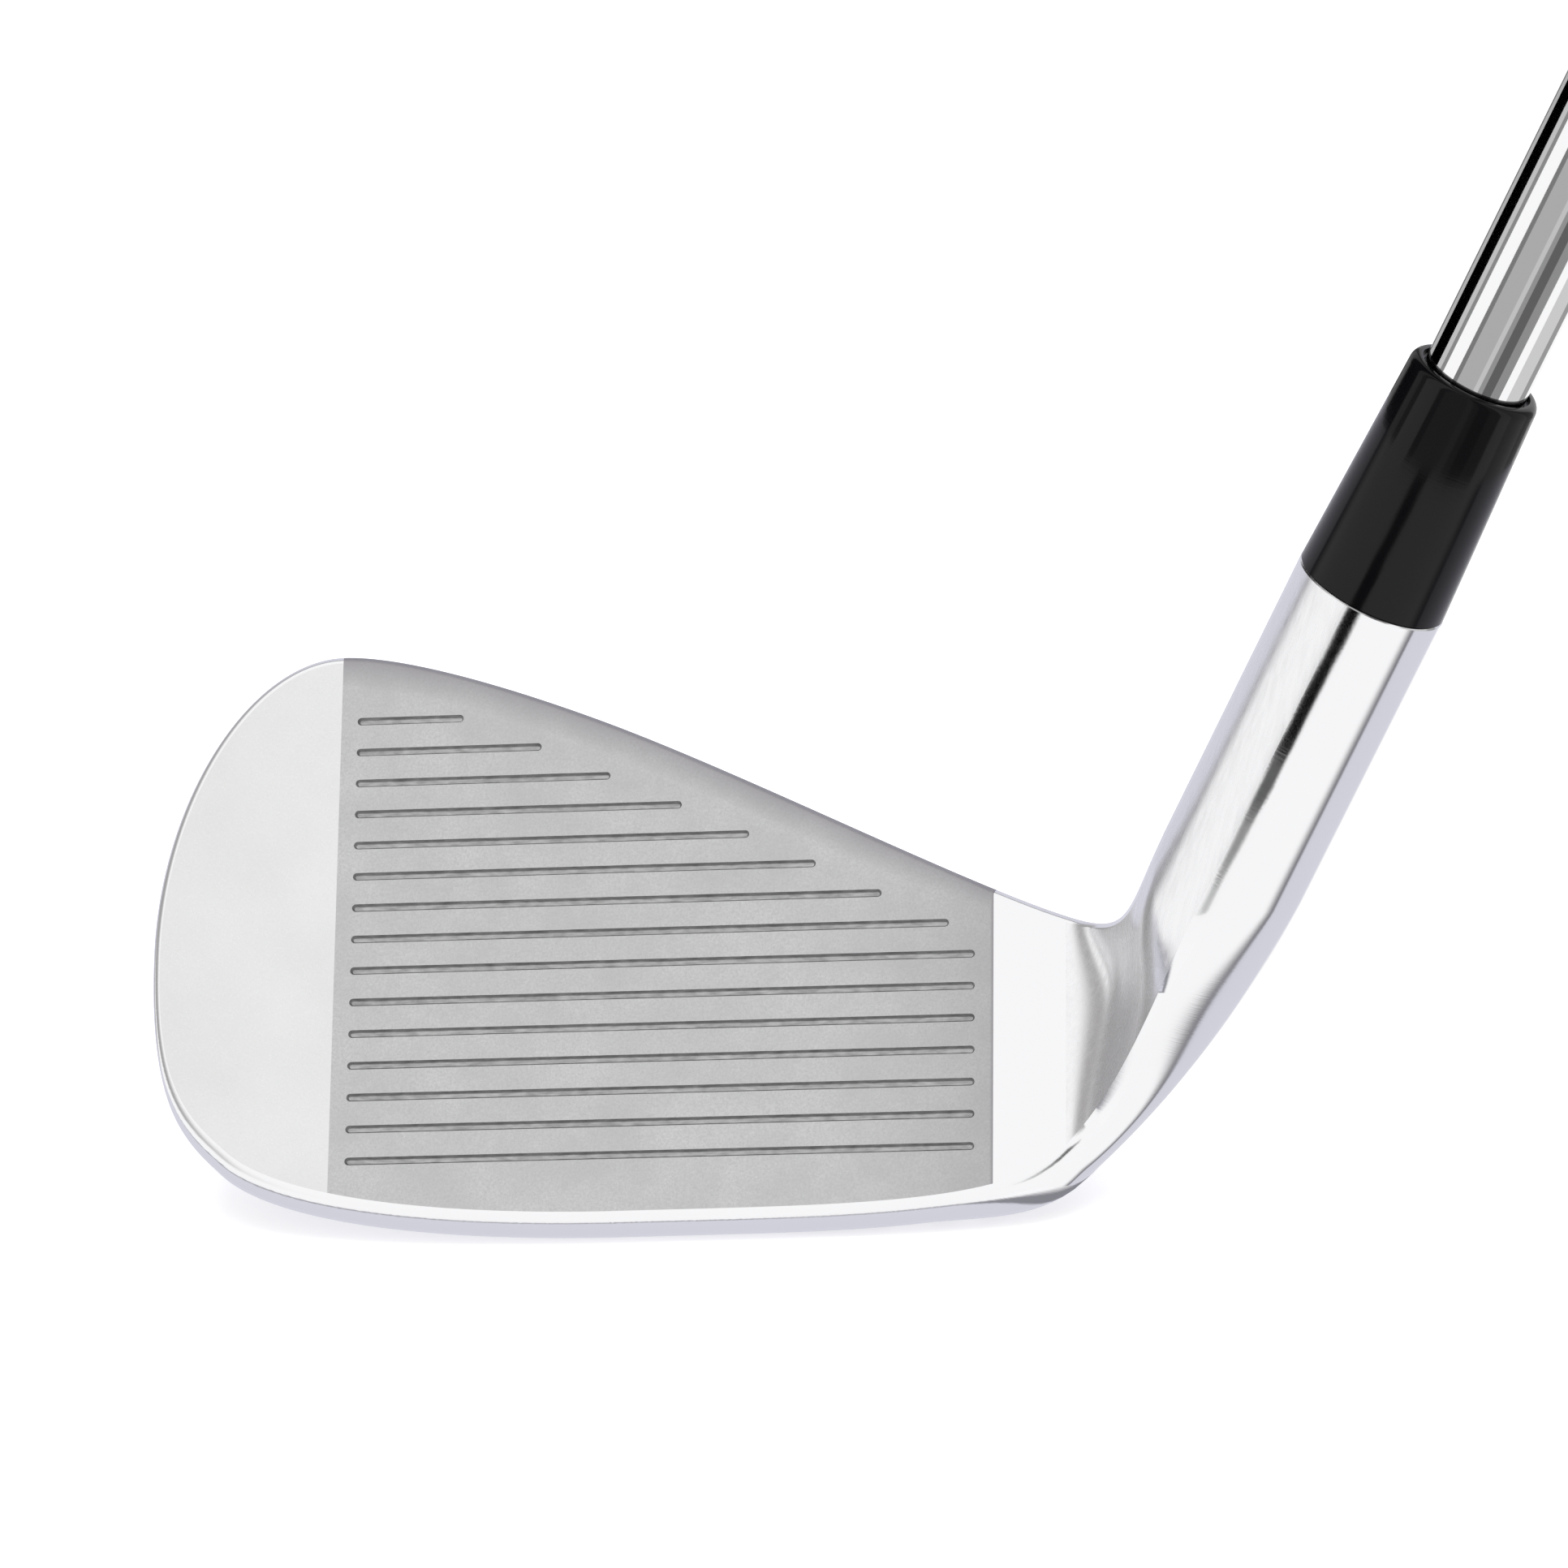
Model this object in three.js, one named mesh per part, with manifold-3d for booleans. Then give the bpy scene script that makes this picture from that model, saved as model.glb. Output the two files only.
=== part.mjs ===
// Iron golf club, set as it is at address: the striking face towards -Y and the shaft leaning
// towards +X. Millimetres. Every piece is drawn from the point where the shaft's axis meets the
// ground, and the whole club is then moved so that the origin is the middle of the hands' hold.
import * as THREE from "three";
import { mergeVertices } from "three/addons/utils/BufferGeometryUtils.js";
import Module from "manifold-3d";

const wasm = await Module();
wasm.setup();

// ---- Driving dimensions ----
const LOFT = THREE.MathUtils.degToRad(41);
const LIE = THREE.MathUtils.degToRad(62.5);
const CLUB_LENGTH = 914; // from the ground to the butt, along the shaft's axis
const HAND_HOLD = 780; // the middle of the hands' hold, along the axis from the ground
const FACE_LEAD = 4.4; // how far the face's plane lies in front of the axis at ground level
const FIT_GAP = 0.1; // clearance drawn between pieces that touch in the real club

// Blade outline on the face's plane: x along the blade, and the height up the face
const TOE_TIP = [-82.6, 30];
const TOE_CORNER = [-75.6, 10.8];
const SOLE_LOW = [-40, 4.47];
const HEEL_LOW = [-3, 6.7];
const TOE_PEAK = [-66.2, 58.1];
const TOP_SHOULDER = [-41, 50.7];
const HEEL_TOP = [-3, 32.1];

// Rims round the blade, from the face's edge to the back
const EDGE_RADIUS = { top: 0.6, toe: 0.7, sole: 1.9 };
const BACK_RADIUS = { top: 1.1, toe: 1.6, sole: 2.6 };
const RIM_WIDTH = { top: 4.6, toe: 6.6, sole: 17.5 };
const SOLE_BOUNCE = THREE.MathUtils.degToRad(6);
const SOLE_LIFT = THREE.MathUtils.degToRad(14);
const RIM_CAMBER = THREE.MathUtils.degToRad(4);
const MUSCLE_LEAN = THREE.MathUtils.degToRad(12);
const BACK_HOLLOW = 0.8;
const SOLE_WRAP = 1.5; // how early the sole's slope starts as the rim turns under the toe

// Hosel and neck
const HOSEL_RADIUS = 6.83;
const HOSEL_TOP = 68.6; // along the axis from the ground
const NECK_TOP = 40; // where the neck has become the round hosel
const BORE_RADIUS = 5.1;
const BORE_FLOOR = 32;
const NECK_HOLLOW = 2.6; // depth of the valley between face and hosel
const RIDGE_ANGLE = 108; // degrees round the hosel from the heel, where the neck's ridge runs out
const BLADE_PULL = { sole: 43, ridge: 16, top: 13 }; // how far the neck's curves follow the blade
const HOSEL_PULL = { sole: 48, ridge: 30, top: 33 }; // and how far they follow the hosel

// Score lines
const SCORE_COUNT = 15;
const SCORE_PITCH = 3.03;
const SCORE_FIRST = 9.75; // height of the lowest one up the face
const SCORE_TOE_END = -64.7;
const SCORE_HEEL_END = -6.9;
const SCORE_TOP_MARGIN = 4.5; // kept clear of the topline, measured up the face
const SCORE_MARGIN_STEP = 0.45; // by which that margin shrinks for each of the two top lines
const SCORE_WIDTH = 0.62;
const SCORE_DEPTH = 0.45;

// Cavity in the back, with its badge
const CAVITY_FLOOR = 3.2; // thickness of the face
const CAVITY_REACH = 26;
const PAD_THICKNESS = 0.6;
const BADGE_THICKNESS = 1.2;
const BADGE_INSET = 2.2;
const PAD_INSET = 3.4;

// Shaft: a stepped steel tube
const TIP_RADIUS = 4.7;
const BUTT_RADIUS = 7.62;
const STEP_COUNT = 13;
const FIRST_STEP = 242;
const STEP_PITCH = 33;
const STEP_LENGTH = 2;
const TIP_WALL = 0.7;
const BUTT_WALL = 0.36;
const BOND_WALL = 0.2;
const TIP_WEIGHT_RADIUS = 3.8;
const TIP_WEIGHT_LENGTH = 22;

// Ferrule
const FERRULE_LENGTH = 21.3;
const FERRULE_FOOT_RADIUS = 6.8;
const FERRULE_HEAD_RADIUS = 5.95;
const FERRULE_LIP = 0.7;

// Band, tape and grip
const BAND_START = 609;
const BAND_LENGTH = 24;
const BAND_WALL = 0.15;
const GRIP_LENGTH = 267;
const GRIP_MOUTH_RADIUS = 9.2;
const GRIP_WAIST_RADIUS = 10.6;
const GRIP_BUTT_RADIUS = 12.9;
const CAP_THICKNESS = 4.2;
const CAP_RADIUS = 13.3;
const CAP_SPIGOT_RADIUS = 6.4;
const CAP_SPIGOT_LENGTH = 5;
const VENT_RADIUS = 1.3;
const TAPE_WALL = 0.2;

// How finely the surfaces are cut up
const ROUND_SEGMENTS = 32;
const BLADE_STATIONS = 26;
const NECK_STATIONS = 16;
const FACE_CELLS = 8;
const BACK_CELLS = 6;
const EDGE_CELLS = 4;
const WALL_CELLS = 5;
const CORNER_CELLS = 3;

// ---- Materials ----
function metal(color, roughness) {
  return new THREE.MeshStandardMaterial({ color, roughness, metalness: 1 });
}

function polymer(color, roughness) {
  return new THREE.MeshStandardMaterial({ color, roughness, metalness: 0 });
}

const satinSteel = metal(0xd9d9dc, 0.28);
const chromedSteel = metal(0xf2f2f4, 0.06);
const brushedAluminium = metal(0x9aa0a8, 0.35);
const brass = metal(0xb59a56, 0.35);
const foil = metal(0xc4c8cf, 0.25);
const glossBlack = polymer(0x0d0d0f, 0.12);
const gripRubber = polymer(0x1b1b1d, 0.75);
const capRubber = polymer(0x242426, 0.6);
const epoxyResin = polymer(0xb9a46a, 0.4);
const foamTape = polymer(0x2c2c2e, 0.8);
const paperTape = polymer(0xd8cfb8, 0.85);

// ---- Frames ----
// On the face: x along the blade, y up the face, z out of the face
const faceFrame = new THREE.Group();
faceFrame.rotation.x = Math.PI / 2 - LOFT;
faceFrame.position.y = -FACE_LEAD;
faceFrame.updateMatrix();

// Along the shaft: z up the axis from the ground
const shaftFrame = new THREE.Group();
shaftFrame.rotation.y = Math.PI / 2 - LIE;
shaftFrame.updateMatrix();

function onFace(x, up, deep) {
  return new THREE.Vector3(x, up, -deep).applyMatrix4(faceFrame.matrix);
}

// Angle 0 points to the heel, 90 degrees to the front and 180 to the toe
function onHosel(angle, along) {
  const round = new THREE.Vector3(Math.cos(angle), -Math.sin(angle), 0).multiplyScalar(HOSEL_RADIUS);
  round.z = along;
  return round.applyMatrix4(shaftFrame.matrix);
}

// ---- Shape helpers ----
function smooth(t) {
  const k = THREE.MathUtils.clamp(t, 0, 1);
  return k * k * (3 - 2 * k);
}

function bezier(start, startHandle, endHandle, end) {
  return new THREE.CubicBezierCurve(
    new THREE.Vector2(...start),
    new THREE.Vector2(...startHandle),
    new THREE.Vector2(...endHandle),
    new THREE.Vector2(...end),
  );
}

// Closed solid of revolution about Z from [radius, height] pairs, listed counter-clockwise
function turned(profile) {
  const points = profile.map(([radius, height]) => new THREE.Vector2(radius, height));
  points.push(points[0].clone());
  return new THREE.LatheGeometry(points, ROUND_SEGMENTS).rotateX(Math.PI / 2);
}

function tube(inner, outer, bottom, top) {
  return turned([[inner, bottom], [outer, bottom], [outer, top], [inner, top]]);
}

// Flat plate on the face's frame, between two depths behind the face
function plate(shape, nearDepth, farDepth) {
  const options = { depth: farDepth - nearDepth, bevelEnabled: false, curveSegments: 6 };
  return new THREE.ExtrudeGeometry(shape, options).translate(0, 0, -farDepth);
}

function toSolid(geometry) {
  const bare = new THREE.BufferGeometry();
  bare.setAttribute("position", geometry.getAttribute("position"));
  bare.setIndex(geometry.getIndex());
  const merged = mergeVertices(bare, 1e-4);
  const corners = merged.getIndex().array;
  const triVerts = [];
  for (let i = 0; i < corners.length; i += 3) {
    const [a, b, c] = corners.slice(i, i + 3);
    if (a !== b && b !== c && c !== a) {
      triVerts.push(a, b, c);
    }
  }
  return new wasm.Manifold(new wasm.Mesh({
    numProp: 3,
    vertProperties: new Float32Array(merged.getAttribute("position").array),
    triVerts: new Uint32Array(triVerts),
  }));
}

function toGeometry(solid) {
  const mesh = solid.getMesh();
  const geometry = new THREE.BufferGeometry();
  geometry.setAttribute("position", new THREE.BufferAttribute(mesh.vertProperties, 3));
  geometry.setIndex(new THREE.BufferAttribute(mesh.triVerts, 1));
  return geometry;
}

// ---- Head: outline ----
const lowerEdge = [
  bezier(TOE_TIP, [TOE_TIP[0], 18], [-80.1, 14.7], TOE_CORNER),
  bezier(TOE_CORNER, [-70.3, 6.2], [-55, SOLE_LOW[1]], SOLE_LOW),
  bezier(SOLE_LOW, [-28, SOLE_LOW[1]], [-13, 5.4], HEEL_LOW),
];

const upperEdge = [
  bezier(TOE_TIP, [TOE_TIP[0], 45], [-74.7, TOE_PEAK[1]], TOE_PEAK),
  bezier(TOE_PEAK, [-60.5, TOE_PEAK[1]], [-50, 54.5], TOP_SHOULDER),
  bezier(TOP_SHOULDER, [-30, 46.1], [-14, 37.8], HEEL_TOP),
];

// Point and direction where a chain of curves, running from toe to heel, crosses x
function crossing(chain, x) {
  const curve = chain.find((piece) => x <= piece.v3.x) ?? chain.at(-1);
  let low = 0;
  let high = 1;
  for (let i = 0; i < 40; i += 1) {
    const middle = (low + high) / 2;
    if (curve.getPoint(middle).x < x) {
      low = middle;
    } else {
      high = middle;
    }
  }
  return { point: curve.getPoint(high), along: curve.getTangent(high) };
}

// ---- Head: sections ----
// Steps [outward, deeper] round one rim, turning from the face's edge over to the back.
// downward is 1 under the sole, 0 at the toe and -1 on the topline.
function rimProfile(downward) {
  const side = downward > 0 ? "sole" : "top";
  const share = smooth(Math.abs(downward));
  const mix = (table) => THREE.MathUtils.lerp(table.toe, table[side], share);
  const soleShare = smooth(downward * SOLE_WRAP);
  const level = Math.PI / 2 + LOFT * soleShare;
  const wallStart = level - Math.max(SOLE_BOUNCE * soleShare, RIM_CAMBER / 2);
  const wallEnd = level + Math.max(SOLE_LIFT * soleShare, RIM_CAMBER / 2);
  const backStart = Math.PI + MUSCLE_LEAN * soleShare;
  const arcs = [
    { from: 0, to: wallStart, radius: mix(EDGE_RADIUS), cells: EDGE_CELLS },
    { from: wallStart, to: wallEnd, radius: mix(RIM_WIDTH) / (wallEnd - wallStart), cells: WALL_CELLS },
    { from: wallEnd, to: backStart, radius: mix(BACK_RADIUS), cells: CORNER_CELLS },
  ];
  const steps = [[0, 0]];
  let [startOut, startDeep] = steps[0];
  for (const { from, to, radius, cells } of arcs) {
    for (let i = 1; i <= cells; i += 1) {
      const angle = from + (to - from) * i / cells;
      steps.push([
        startOut + radius * (Math.sin(angle) - Math.sin(from)),
        startDeep + radius * (Math.cos(from) - Math.cos(angle)),
      ]);
    }
    [startOut, startDeep] = steps.at(-1);
  }
  return steps;
}

function rim(edge, outward) {
  return rimProfile(-outward.y).map(([out, deep]) => [
    edge.x + outward.x * out,
    edge.y + outward.y * out,
    deep,
  ]);
}

// Closed loop round the blade: up the face, over the top, down the back and along the sole.
// Each end of the face is given by its point on the outline and the direction out of the blade.
function loopBetween(low, high) {
  const under = rim(low.point, low.outward);
  const over = rim(high.point, high.outward);
  const loop = [];
  for (let i = 0; i < FACE_CELLS; i += 1) {
    const { x, y } = low.point.clone().lerp(high.point, i / FACE_CELLS);
    loop.push([x, y, 0]);
  }
  loop.push(...over.slice(0, -1));
  const backTop = over.at(-1);
  const backLow = under.at(-1);
  const hollow = BACK_HOLLOW * smooth((backTop[1] - backLow[1]) / 12);
  for (let i = 0; i < BACK_CELLS; i += 1) {
    const t = i / BACK_CELLS;
    const [x, up, deep] = backTop.map((value, k) => THREE.MathUtils.lerp(value, backLow[k], t));
    loop.push([x, up, deep - hollow * Math.sin(Math.PI * t)]);
  }
  loop.push(...under.slice(1).reverse());
  return loop.map(([x, up, deep]) => onFace(x, up, deep));
}

function bladeSection(x) {
  const low = crossing(lowerEdge, x);
  const high = crossing(upperEdge, x);
  low.outward = new THREE.Vector2(low.along.y, -low.along.x);
  high.outward = new THREE.Vector2(-high.along.y, high.along.x);
  return loopBetween(low, high);
}

function toeSection() {
  const tip = { point: new THREE.Vector2(...TOE_TIP), outward: new THREE.Vector2(-1, 0) };
  return loopBetween(tip, tip);
}

// Where each stretch of a section ends up round the hosel, in degrees, and how high each of
// its points lies: 1 on the topline, 0 on the ridge under the face, and -1 on the sole
const RIM_CELLS = EDGE_CELLS + WALL_CELLS + CORNER_CELLS;
const SPANS = [
  { cells: FACE_CELLS, from: RIDGE_ANGLE, to: 168, rise: (t) => t, hollow: (t) => Math.sin(Math.PI * t) },
  { cells: RIM_CELLS, from: 168, to: 212, rise: () => 1, hollow: () => 0 },
  { cells: BACK_CELLS, from: 212, to: 300, rise: (t) => 1 - 2 * t, hollow: () => 0 },
  { cells: RIM_CELLS, from: 300, to: RIDGE_ANGLE + 360, rise: (t) => t ** 3 - 1, hollow: () => 0 },
];

function hoselPlaces() {
  return SPANS.flatMap(({ cells, from, to, rise, hollow }) => Array.from({ length: cells }, (_, i) => {
    const t = i / cells;
    const angle = THREE.MathUtils.degToRad(THREE.MathUtils.lerp(from, to, t));
    return { angle, rise: rise(t), hollow: hollow(t) };
  }));
}

function pull(table, rise) {
  return THREE.MathUtils.lerp(table.ridge, rise > 0 ? table.top : table.sole, Math.abs(rise));
}

function neckSections() {
  const places = hoselPlaces();
  const start = bladeSection(HEEL_LOW[0]);
  const before = bladeSection(HEEL_LOW[0] - 1);
  const upAxis = new THREE.Vector3(0, 0, 1).transformDirection(shaftFrame.matrix);
  const sections = [];
  for (let i = 1; i <= NECK_STATIONS; i += 1) {
    const t = i / NECK_STATIONS;
    const endShare = smooth(t);
    const startPull = t * (1 - t) ** 2;
    const endPull = t * t * (t - 1);
    sections.push(places.map(({ angle, rise, hollow }, j) => {
      const leaving = start[j].clone().sub(before[j]);
      const point = start[j].clone().lerp(onHosel(angle, NECK_TOP), endShare);
      point.addScaledVector(leaving, startPull * pull(BLADE_PULL, rise));
      point.addScaledVector(upAxis, endPull * pull(HOSEL_PULL, rise));
      point.y += NECK_HOLLOW * hollow * Math.sin(Math.PI * t) ** 2;
      return point;
    }));
  }
  return sections;
}

function headSections() {
  const sections = [toeSection()];
  const length = HEEL_LOW[0] - TOE_TIP[0];
  for (let i = 1; i <= BLADE_STATIONS; i += 1) {
    const t = i / BLADE_STATIONS;
    const spread = THREE.MathUtils.lerp(1 - Math.cos(Math.PI * t / 2), t, 0.35 * t);
    sections.push(bladeSection(TOE_TIP[0] + length * spread));
  }
  sections.push(...neckSections());
  sections.push(hoselPlaces().map(({ angle }) => onHosel(angle, HOSEL_TOP)));
  return sections;
}

// Skin over the sections; the toe closes on itself, and a fan closes the top of the hosel
function skin(sections) {
  const ring = sections[0].length;
  const positions = sections.flat().flatMap((point) => point.toArray());
  const indices = [];
  for (let i = 0; i + 1 < sections.length; i += 1) {
    for (let j = 0; j < ring; j += 1) {
      const next = (j + 1) % ring;
      const a = i * ring + j;
      const b = i * ring + next;
      const c = a + ring;
      const d = b + ring;
      indices.push(a, d, b, a, c, d);
    }
  }
  const top = (sections.length - 1) * ring;
  const centre = positions.length / 3;
  positions.push(...new THREE.Vector3(0, 0, HOSEL_TOP).applyMatrix4(shaftFrame.matrix).toArray());
  for (let j = 0; j < ring; j += 1) {
    indices.push(top + j, centre, top + (j + 1) % ring);
  }
  const geometry = new THREE.BufferGeometry();
  geometry.setAttribute("position", new THREE.Float32BufferAttribute(positions, 3));
  geometry.setIndex(indices);
  return geometry;
}

// ---- Head: cuts ----
function scoreLine(index) {
  const up = SCORE_FIRST + index * SCORE_PITCH;
  const half = SCORE_WIDTH / 2;
  const fromTop = SCORE_COUNT - 1 - index;
  const margin = SCORE_TOP_MARGIN - SCORE_MARGIN_STEP * Math.max(0, 2 - fromTop);
  let heelEnd = SCORE_HEEL_END;
  while (crossing(upperEdge, heelEnd).point.y < up + margin) {
    heelEnd -= 0.1;
  }
  const shape = new THREE.Shape();
  shape.absarc(SCORE_TOE_END + half, up, half, Math.PI / 2, Math.PI * 3 / 2);
  shape.absarc(heelEnd - half, up, half, -Math.PI / 2, Math.PI / 2);
  return plate(shape, -1, SCORE_DEPTH).applyMatrix4(faceFrame.matrix);
}

// Outline of the cavity, drawn smaller by inset
function cavityShape(inset) {
  const shape = new THREE.Shape();
  const floor = 21 + inset;
  const toe = -75 + inset;
  const heel = -12 - inset;
  shape.moveTo(heel - 7, floor);
  shape.lineTo(toe + 12, floor);
  shape.bezierCurveTo(toe + 4, floor, toe, floor + 5, toe, 34);
  shape.bezierCurveTo(toe, 43, toe + 5, 51.4 - inset, -64.5, 51.4 - inset);
  shape.bezierCurveTo(-55, 51.4 - inset, -38, 42.6 - inset, heel - 8, 31.4 - inset);
  shape.bezierCurveTo(heel - 1, 28.6 - inset, heel - 1, floor, heel - 7, floor);
  return shape;
}

function buildHead() {
  const bore = tube(0, BORE_RADIUS, BORE_FLOOR, HOSEL_TOP + 5);
  bore.applyMatrix4(shaftFrame.matrix);
  const cavity = plate(cavityShape(0), CAVITY_FLOOR, CAVITY_REACH);
  cavity.applyMatrix4(faceFrame.matrix);
  let solid = toSolid(skin(headSections()));
  solid = solid.subtract(toSolid(bore)).subtract(toSolid(cavity));
  for (let i = 0; i < SCORE_COUNT; i += 1) {
    solid = solid.subtract(toSolid(scoreLine(i)));
  }
  return toGeometry(solid);
}

// ---- Pieces in the cavity ----
const PAD_TOP = CAVITY_FLOOR + FIT_GAP;
const BADGE_TOP = PAD_TOP + PAD_THICKNESS + FIT_GAP;

function buildBadgePad() {
  return plate(cavityShape(PAD_INSET), PAD_TOP, PAD_TOP + PAD_THICKNESS);
}

function buildBadge() {
  return plate(cavityShape(BADGE_INSET), BADGE_TOP, BADGE_TOP + BADGE_THICKNESS);
}

// ---- Pieces on the shaft's axis ----
const SHAFT_FOOT = BORE_FLOOR + FIT_GAP;
const SHAFT_BUTT = CLUB_LENGTH - CAP_THICKNESS - FIT_GAP;
const GRIP_MOUTH = CLUB_LENGTH - GRIP_LENGTH;

function shaftRadius(step) {
  return THREE.MathUtils.lerp(TIP_RADIUS, BUTT_RADIUS, step / STEP_COUNT);
}

function buildShaft() {
  const outside = [[TIP_RADIUS, SHAFT_FOOT]];
  for (let step = 0; step < STEP_COUNT; step += 1) {
    const start = FIRST_STEP + step * STEP_PITCH;
    outside.push([shaftRadius(step), start], [shaftRadius(step + 1), start + STEP_LENGTH]);
  }
  outside.push([BUTT_RADIUS, SHAFT_BUTT]);
  const lastStep = FIRST_STEP + (STEP_COUNT - 1) * STEP_PITCH;
  const inside = [
    [BUTT_RADIUS - BUTT_WALL, SHAFT_BUTT],
    [BUTT_RADIUS - BUTT_WALL, lastStep + STEP_LENGTH],
    [TIP_RADIUS - TIP_WALL, FIRST_STEP],
    [TIP_RADIUS - TIP_WALL, SHAFT_FOOT],
  ];
  return turned([...outside, ...inside]);
}

function buildBond() {
  const inner = TIP_RADIUS + FIT_GAP;
  return tube(inner, inner + BOND_WALL, SHAFT_FOOT, HOSEL_TOP);
}

function buildTipWeight() {
  return tube(0, TIP_WEIGHT_RADIUS, SHAFT_FOOT, SHAFT_FOOT + TIP_WEIGHT_LENGTH);
}

function buildFerrule() {
  const inner = TIP_RADIUS + FIT_GAP;
  const foot = HOSEL_TOP + FIT_GAP;
  const head = foot + FERRULE_LENGTH;
  return turned([
    [inner, foot],
    [FERRULE_FOOT_RADIUS, foot],
    [FERRULE_HEAD_RADIUS, head - FERRULE_LIP],
    [FERRULE_HEAD_RADIUS - FERRULE_LIP * 0.3, head - FERRULE_LIP * 0.3],
    [FERRULE_HEAD_RADIUS - FERRULE_LIP, head],
    [inner + 0.35, head],
    [inner, head - 0.8],
  ]);
}

function buildBand() {
  const step = Math.floor((BAND_START - FIRST_STEP) / STEP_PITCH) + 1;
  const inner = shaftRadius(step) + FIT_GAP;
  return tube(inner, inner + BAND_WALL, BAND_START, BAND_START + BAND_LENGTH);
}

function buildTape() {
  const inner = BUTT_RADIUS + FIT_GAP;
  return tube(inner, inner + TAPE_WALL, GRIP_MOUTH + 3, SHAFT_BUTT);
}

function buildGrip() {
  const inner = BUTT_RADIUS + TAPE_WALL + 2 * FIT_GAP;
  const top = SHAFT_BUTT;
  return turned([
    [inner, GRIP_MOUTH],
    [GRIP_MOUTH_RADIUS - 0.5, GRIP_MOUTH],
    [GRIP_MOUTH_RADIUS, GRIP_MOUTH + 0.8],
    [GRIP_WAIST_RADIUS, GRIP_MOUTH + GRIP_LENGTH * 0.55],
    [GRIP_BUTT_RADIUS - 0.9, top - 30],
    [GRIP_BUTT_RADIUS, top - 6],
    [GRIP_BUTT_RADIUS, top],
    [inner, top],
  ]);
}

function buildCap() {
  const seat = SHAFT_BUTT + FIT_GAP;
  return turned([
    [VENT_RADIUS, seat - CAP_SPIGOT_LENGTH],
    [CAP_SPIGOT_RADIUS, seat - CAP_SPIGOT_LENGTH],
    [CAP_SPIGOT_RADIUS, seat],
    [CAP_RADIUS - 0.6, seat],
    [CAP_RADIUS, seat + 1],
    [CAP_RADIUS - 0.3, CLUB_LENGTH - 1.6],
    [CAP_RADIUS - 2.4, CLUB_LENGTH],
    [VENT_RADIUS, CLUB_LENGTH],
  ]);
}

// ---- Assembly ----
function add(parent, name, geometry, material) {
  const mesh = new THREE.Mesh(geometry, material);
  mesh.name = name;
  parent.add(mesh);
}

const club = new THREE.Group();
club.add(faceFrame, shaftFrame);
club.position.set(0, 0, HAND_HOLD).applyMatrix4(shaftFrame.matrix).negate();

add(club, "iron_head", buildHead(), satinSteel);
add(faceFrame, "badge_pad", buildBadgePad(), foamTape);
add(faceFrame, "cavity_badge", buildBadge(), brushedAluminium);
add(shaftFrame, "hosel_epoxy", buildBond(), epoxyResin);
add(shaftFrame, "tip_weight", buildTipWeight(), brass);
add(shaftFrame, "shaft", buildShaft(), chromedSteel);
add(shaftFrame, "ferrule", buildFerrule(), glossBlack);
add(shaftFrame, "shaft_band", buildBand(), foil);
add(shaftFrame, "grip_tape", buildTape(), paperTape);
add(shaftFrame, "grip_sleeve", buildGrip(), gripRubber);
add(shaftFrame, "grip_end_cap", buildCap(), capRubber);

export default club;
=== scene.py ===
"""Looks of the iron golf club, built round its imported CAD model. The frame is in metres with +Z up,
the striking face towards -Y and the shaft leaning towards +X. Shapes are worked out in millimetres."""
import math

import bmesh
import bpy
import numpy as np
from mathutils import Matrix, Vector
from mathutils.geometry import delaunay_2d_cdt


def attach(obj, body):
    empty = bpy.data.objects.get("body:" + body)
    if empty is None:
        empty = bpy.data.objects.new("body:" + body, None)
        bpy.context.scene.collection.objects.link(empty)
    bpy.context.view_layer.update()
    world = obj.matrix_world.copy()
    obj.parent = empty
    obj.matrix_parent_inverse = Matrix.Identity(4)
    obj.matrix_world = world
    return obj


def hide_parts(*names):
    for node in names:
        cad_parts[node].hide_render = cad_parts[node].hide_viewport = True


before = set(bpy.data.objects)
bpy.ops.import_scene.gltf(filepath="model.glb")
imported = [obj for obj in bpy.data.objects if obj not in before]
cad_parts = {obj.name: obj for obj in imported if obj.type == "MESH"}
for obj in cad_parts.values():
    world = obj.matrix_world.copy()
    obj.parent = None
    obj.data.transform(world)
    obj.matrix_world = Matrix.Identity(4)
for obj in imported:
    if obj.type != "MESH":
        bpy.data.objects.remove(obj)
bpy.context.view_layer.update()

MM = 0.001
BODY = "root"
SMOOTH_ANGLE = 35  # degrees; an edge that turns by more stays sharp

# ------------ driving dimensions, millimetres
LOFT = math.radians(41)
LIE = math.radians(62.5)
CLUB_LENGTH = 914
HAND_HOLD = 780  # from the ground along the axis to the club's origin
FACE_LEAD = 4.4  # how far in front of the axis's foot the face's plane meets the ground
FIT_GAP = 0.1

# points of the blade's outline: (x, up the face)
TOE_TIP = (-82.6, 30)
TOE_CORNER = (-75.6, 10.8)
SOLE_LOW = (-40, 4.47)
HEEL_LOW = (1.4, 9.6)
TOE_PEAK = (-66.2, 58.1)
TOP_SHOULDER = (-41, 50.7)
HEEL_TOP = (1.4, 30.8)

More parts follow.
